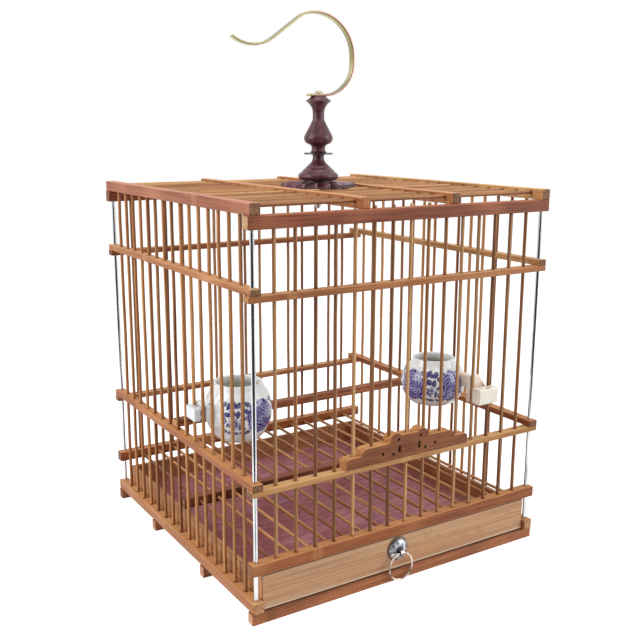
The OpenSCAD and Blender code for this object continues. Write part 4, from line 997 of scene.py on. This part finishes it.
def drawerPaint(name, lengthwise, main, streak, pale):
    paint = Paint(name, streak, Coat_Weight=0.04, Coat_Roughness=0.35, Specular_IOR_Level=0.25)
    x, y, z = paint.split(paint.here())
    run, out = (x, y) if lengthwise == "x" else (y, x)
    facing = paint.facing()
    fine = paint.noise((run * 9, out * 500, z * 1300), 3, 0.62)
    paint.coat(main, fine, 0.30, 0.66)
    paint.coat(pale, paint.noise((run * 5, out * 120, z * 260)), 0.40, 0.72, 0.4)
    paint.coat(drawerLook["end"], paint.noise((run * 24, out * 30, z * 60)), 0.5, 0.72, 0.4)
    paint.coat(streak, paint.noise((run * 120, out * 900, z * 2600), 1), 0.68, 0.76, 0.45)
    paint.coat(drawerLook["end"], abs(facing[0 if lengthwise == "x" else 1]), 0.6, 0.9, 0.8)
    # upward faces painted paler, as lit from above
    paint.coat(pale, facing[2], 0.5, 0.9, 0.5)
    paint.coat(streak, paint.noise((run * 90, out * 60, z * 260), 3, 0.7), 0.54, 0.72, 0.5)
    if name.startswith("drawerFront"):
        # painted highlight along the lower edge by the batten, partly rubbed; painted shade along the two
        # gaps; painted shadow round the plate
        foot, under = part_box("drawer_front")[0].z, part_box("rail_sill_front")[0].z
        paint.coat(drawerLook["rubbedHighlight"], z + fine * (0.5 * mm), foot + 2.0 * mm, foot + 1.4 * mm, 0.8)
        paint.coat(drawerLook["gap"], z, foot + 0.7 * mm, foot + 0.3 * mm, 0.9)
        paint.coat(drawerLook["shade"], z, under - 2.6 * mm, under - 1.5 * mm, 0.75)
        far = paint.length(x - (pullSizes["x"] - 0.9) * mm, z - (pullSizes["up"] + 0.5) * mm)
        paint.coat(drawerLook["plateShadow"], far, 9.7 * mm, 8.4 * mm, 0.8)
    return paint.done(0.42 + 0.2 * fine, fine)


stick("drawerFront", "drawer_front", "drawer",
      drawerPaint("drawerFrontBamboo", "x", *drawerLook["front"]), drawerLook["ease"])
sideShadedWood = drawerPaint("drawerSideBamboo", "y", *drawerLook["side"])
nodes["drawer_left"].data.materials[0] = nodes["drawer_right"].data.materials[0] = sideShadedWood.material
nodes["drawer_back"].data.materials[0] = drawerPaint("drawerBackBamboo", "x", *drawerLook["back"]).material

trayLook = {
    "deep": (165, 98, 101), "rose": (203, 141, 149), "mauve": (170, 134, 168), "grain": (128, 68, 70),
    "wearAndPaintedLight": (150, 92, 62),
}


def trayPaint():
    paint = Paint("trayLacquer", trayLook["deep"], Roughness=0.6, Specular_IOR_Level=0.25)
    x, y, z = paint.split(paint.here())
    grain = paint.noise((x * 60, y * 420, z * 60), 3, 0.6)
    paint.coat(trayLook["rose"], paint.noise((x * 16, y * 16, 0.4), 3, 0.55), 0.35, 0.65)
    paint.coat(trayLook["mauve"], paint.noise((x * 34 + 4, y * 34, 0.9), 3, 0.6), 0.55, 0.72, 0.45)
    paint.coat(trayLook["grain"], grain, 0.60, 0.42, 0.5)
    # browner towards both sides
    paint.coat(trayLook["wearAndPaintedLight"], abs(x), 0.085, 0.112, 0.45)
    return paint.done(None, grain)


nodes["drawer_tray"].data.materials[0] = trayPaint().material
print("cage: drawer")


# camera, light, floor

studio = {
    "eye": (-0.3677, -0.5870, 0.3171),
    "yaw": -32.362, "tilt": 77.773, "roll": 0.211,
    "lens": 50.04,
    "air": 0.38,                 # even light from all round
    "left": 15.0, "right": 13.0, "above": 6.5,
    "floorTone": 0.62, "floorGlow": 0.8,
}
camera = bpy.data.objects.new("camera", bpy.data.cameras.new("camera"))
camera.data.sensor_width = 36
camera.data.lens = studio["lens"]
camera.data.clip_start = 0.01
turning = spun(studio["yaw"], "Z") @ spun(studio["tilt"], "X") @ spun(studio["roll"], "Z")
camera.matrix_world = Matrix.Translation(studio["eye"]) @ turning
scene.collection.objects.link(camera)
scene.camera = camera


def softbox(name, power, place, aim, wide, high):
    data = bpy.data.lights.new(name, "AREA")
    data.shape, data.size, data.size_y, data.energy = "RECTANGLE", wide, high, power
    lamp = bpy.data.objects.new(name, data)
    towards = (Vector(aim) - Vector(place)).to_track_quat("-Z", "Y").to_matrix().to_4x4()
    lamp.matrix_world = Matrix.Translation(place) @ towards
    scene.collection.objects.link(lamp)


softbox("leftBox", studio["left"], (-1.25, 0.15, 0.75), (0, 0, 0.16), 0.9, 1.2)
softbox("rightBox", studio["right"], (1.0, -1.0, 0.7), (0, 0, 0.16), 0.9, 1.2)
softbox("topBox", studio["above"], (0.1, -0.1, 1.5), (0, 0, 0.1), 1.0, 1.0)


def seenBy(desk, *rays):  # 1 for the named kinds of ray
    outputs = desk.node("ShaderNodeLightPath").socket.node.outputs
    seen = Signal(desk, outputs[rays[0]])
    for ray in rays[1:]:
        seen = desk.larger(seen, Signal(desk, outputs[ray]))
    return seen


world = bpy.data.worlds.new("studio")
world.use_nodes = True
scene.world = world
sky = Desk(world.node_tree)
background = next(n for n in world.node_tree.nodes if n.type == "BACKGROUND")
background.inputs["Color"].default_value = (1, 1, 1, 1)
seen = seenBy(sky, "Is Camera Ray", "Is Glossy Ray", "Is Transmission Ray")
sky.feed(background.inputs["Strength"], studio["air"] + seen * (1 - studio["air"]))


def sheet(name, points, faces, paint):
    mesh = bpy.data.meshes.new(name)
    mesh.from_pydata(points, [], faces)
    mesh.materials.append(paint.material)
    lain = bpy.data.objects.new(name, mesh)
    scene.collection.objects.link(lain)
    return lain


tone = studio["floorTone"]
floorPaint = Paint("paleFloor", Roughness=0.9, Specular_IOR_Level=0.0, Base_Color=(tone, tone, tone, 1))
glow = seenBy(floorPaint, "Is Camera Ray", "Is Glossy Ray") * studio["floorGlow"]
glow = floorPaint.node("ShaderNodeEmission", sockets={"Color": (1, 1, 1, 1), "Strength": glow})
matt = Signal(floorPaint, floorPaint.shader.outputs[0])
both = floorPaint.node("ShaderNodeAddShader", sockets={0: matt, 1: glow})
surface = next(n for n in floorPaint.tree.nodes if n.type == "OUTPUT_MATERIAL").inputs["Surface"]
floorPaint.tree.links.new(both.socket, surface)
floor = sheet("floor", [(-4, -4, 0), (4, -4, 0), (4, 4, 0), (-4, 4, 0)], [(0, 1, 2, 3)], floorPaint)

# a dark flag behind the camera and two cards on the floor give bright metal its dark lines;
# only reflections see them
flagPaint = Paint("darkFlag", Roughness=1.0, Base_Color=(0.01, 0.01, 0.012, 1))
laid = (
    (-1.3, -0.36), (1.3, -0.36), (1.6, -2.3), (-1.6, -2.3),
    (0.10, -0.17), (0.16, -0.13), (0.20, -0.17), (0.13, -0.21),
    (-0.052, -0.235), (-0.022, -0.235), (0.04, -0.36), (-0.115, -0.36),
)
flag = sheet("flag", [(x, y, 0.003) for x, y in laid] + [(1.6, -2.3, 1.5), (-1.6, -2.3, 1.5)],
             [(0, 1, 2, 3), (3, 2, 12, 13), (4, 7, 6, 5), (8, 11, 10, 9)], flagPaint)
flag.matrix_world = spun(studio["yaw"], "Z")
flag.visible_camera = flag.visible_diffuse = flag.visible_shadow = flag.visible_transmission = False

scene.view_settings.view_transform = "Standard"
print("cage: studio set")
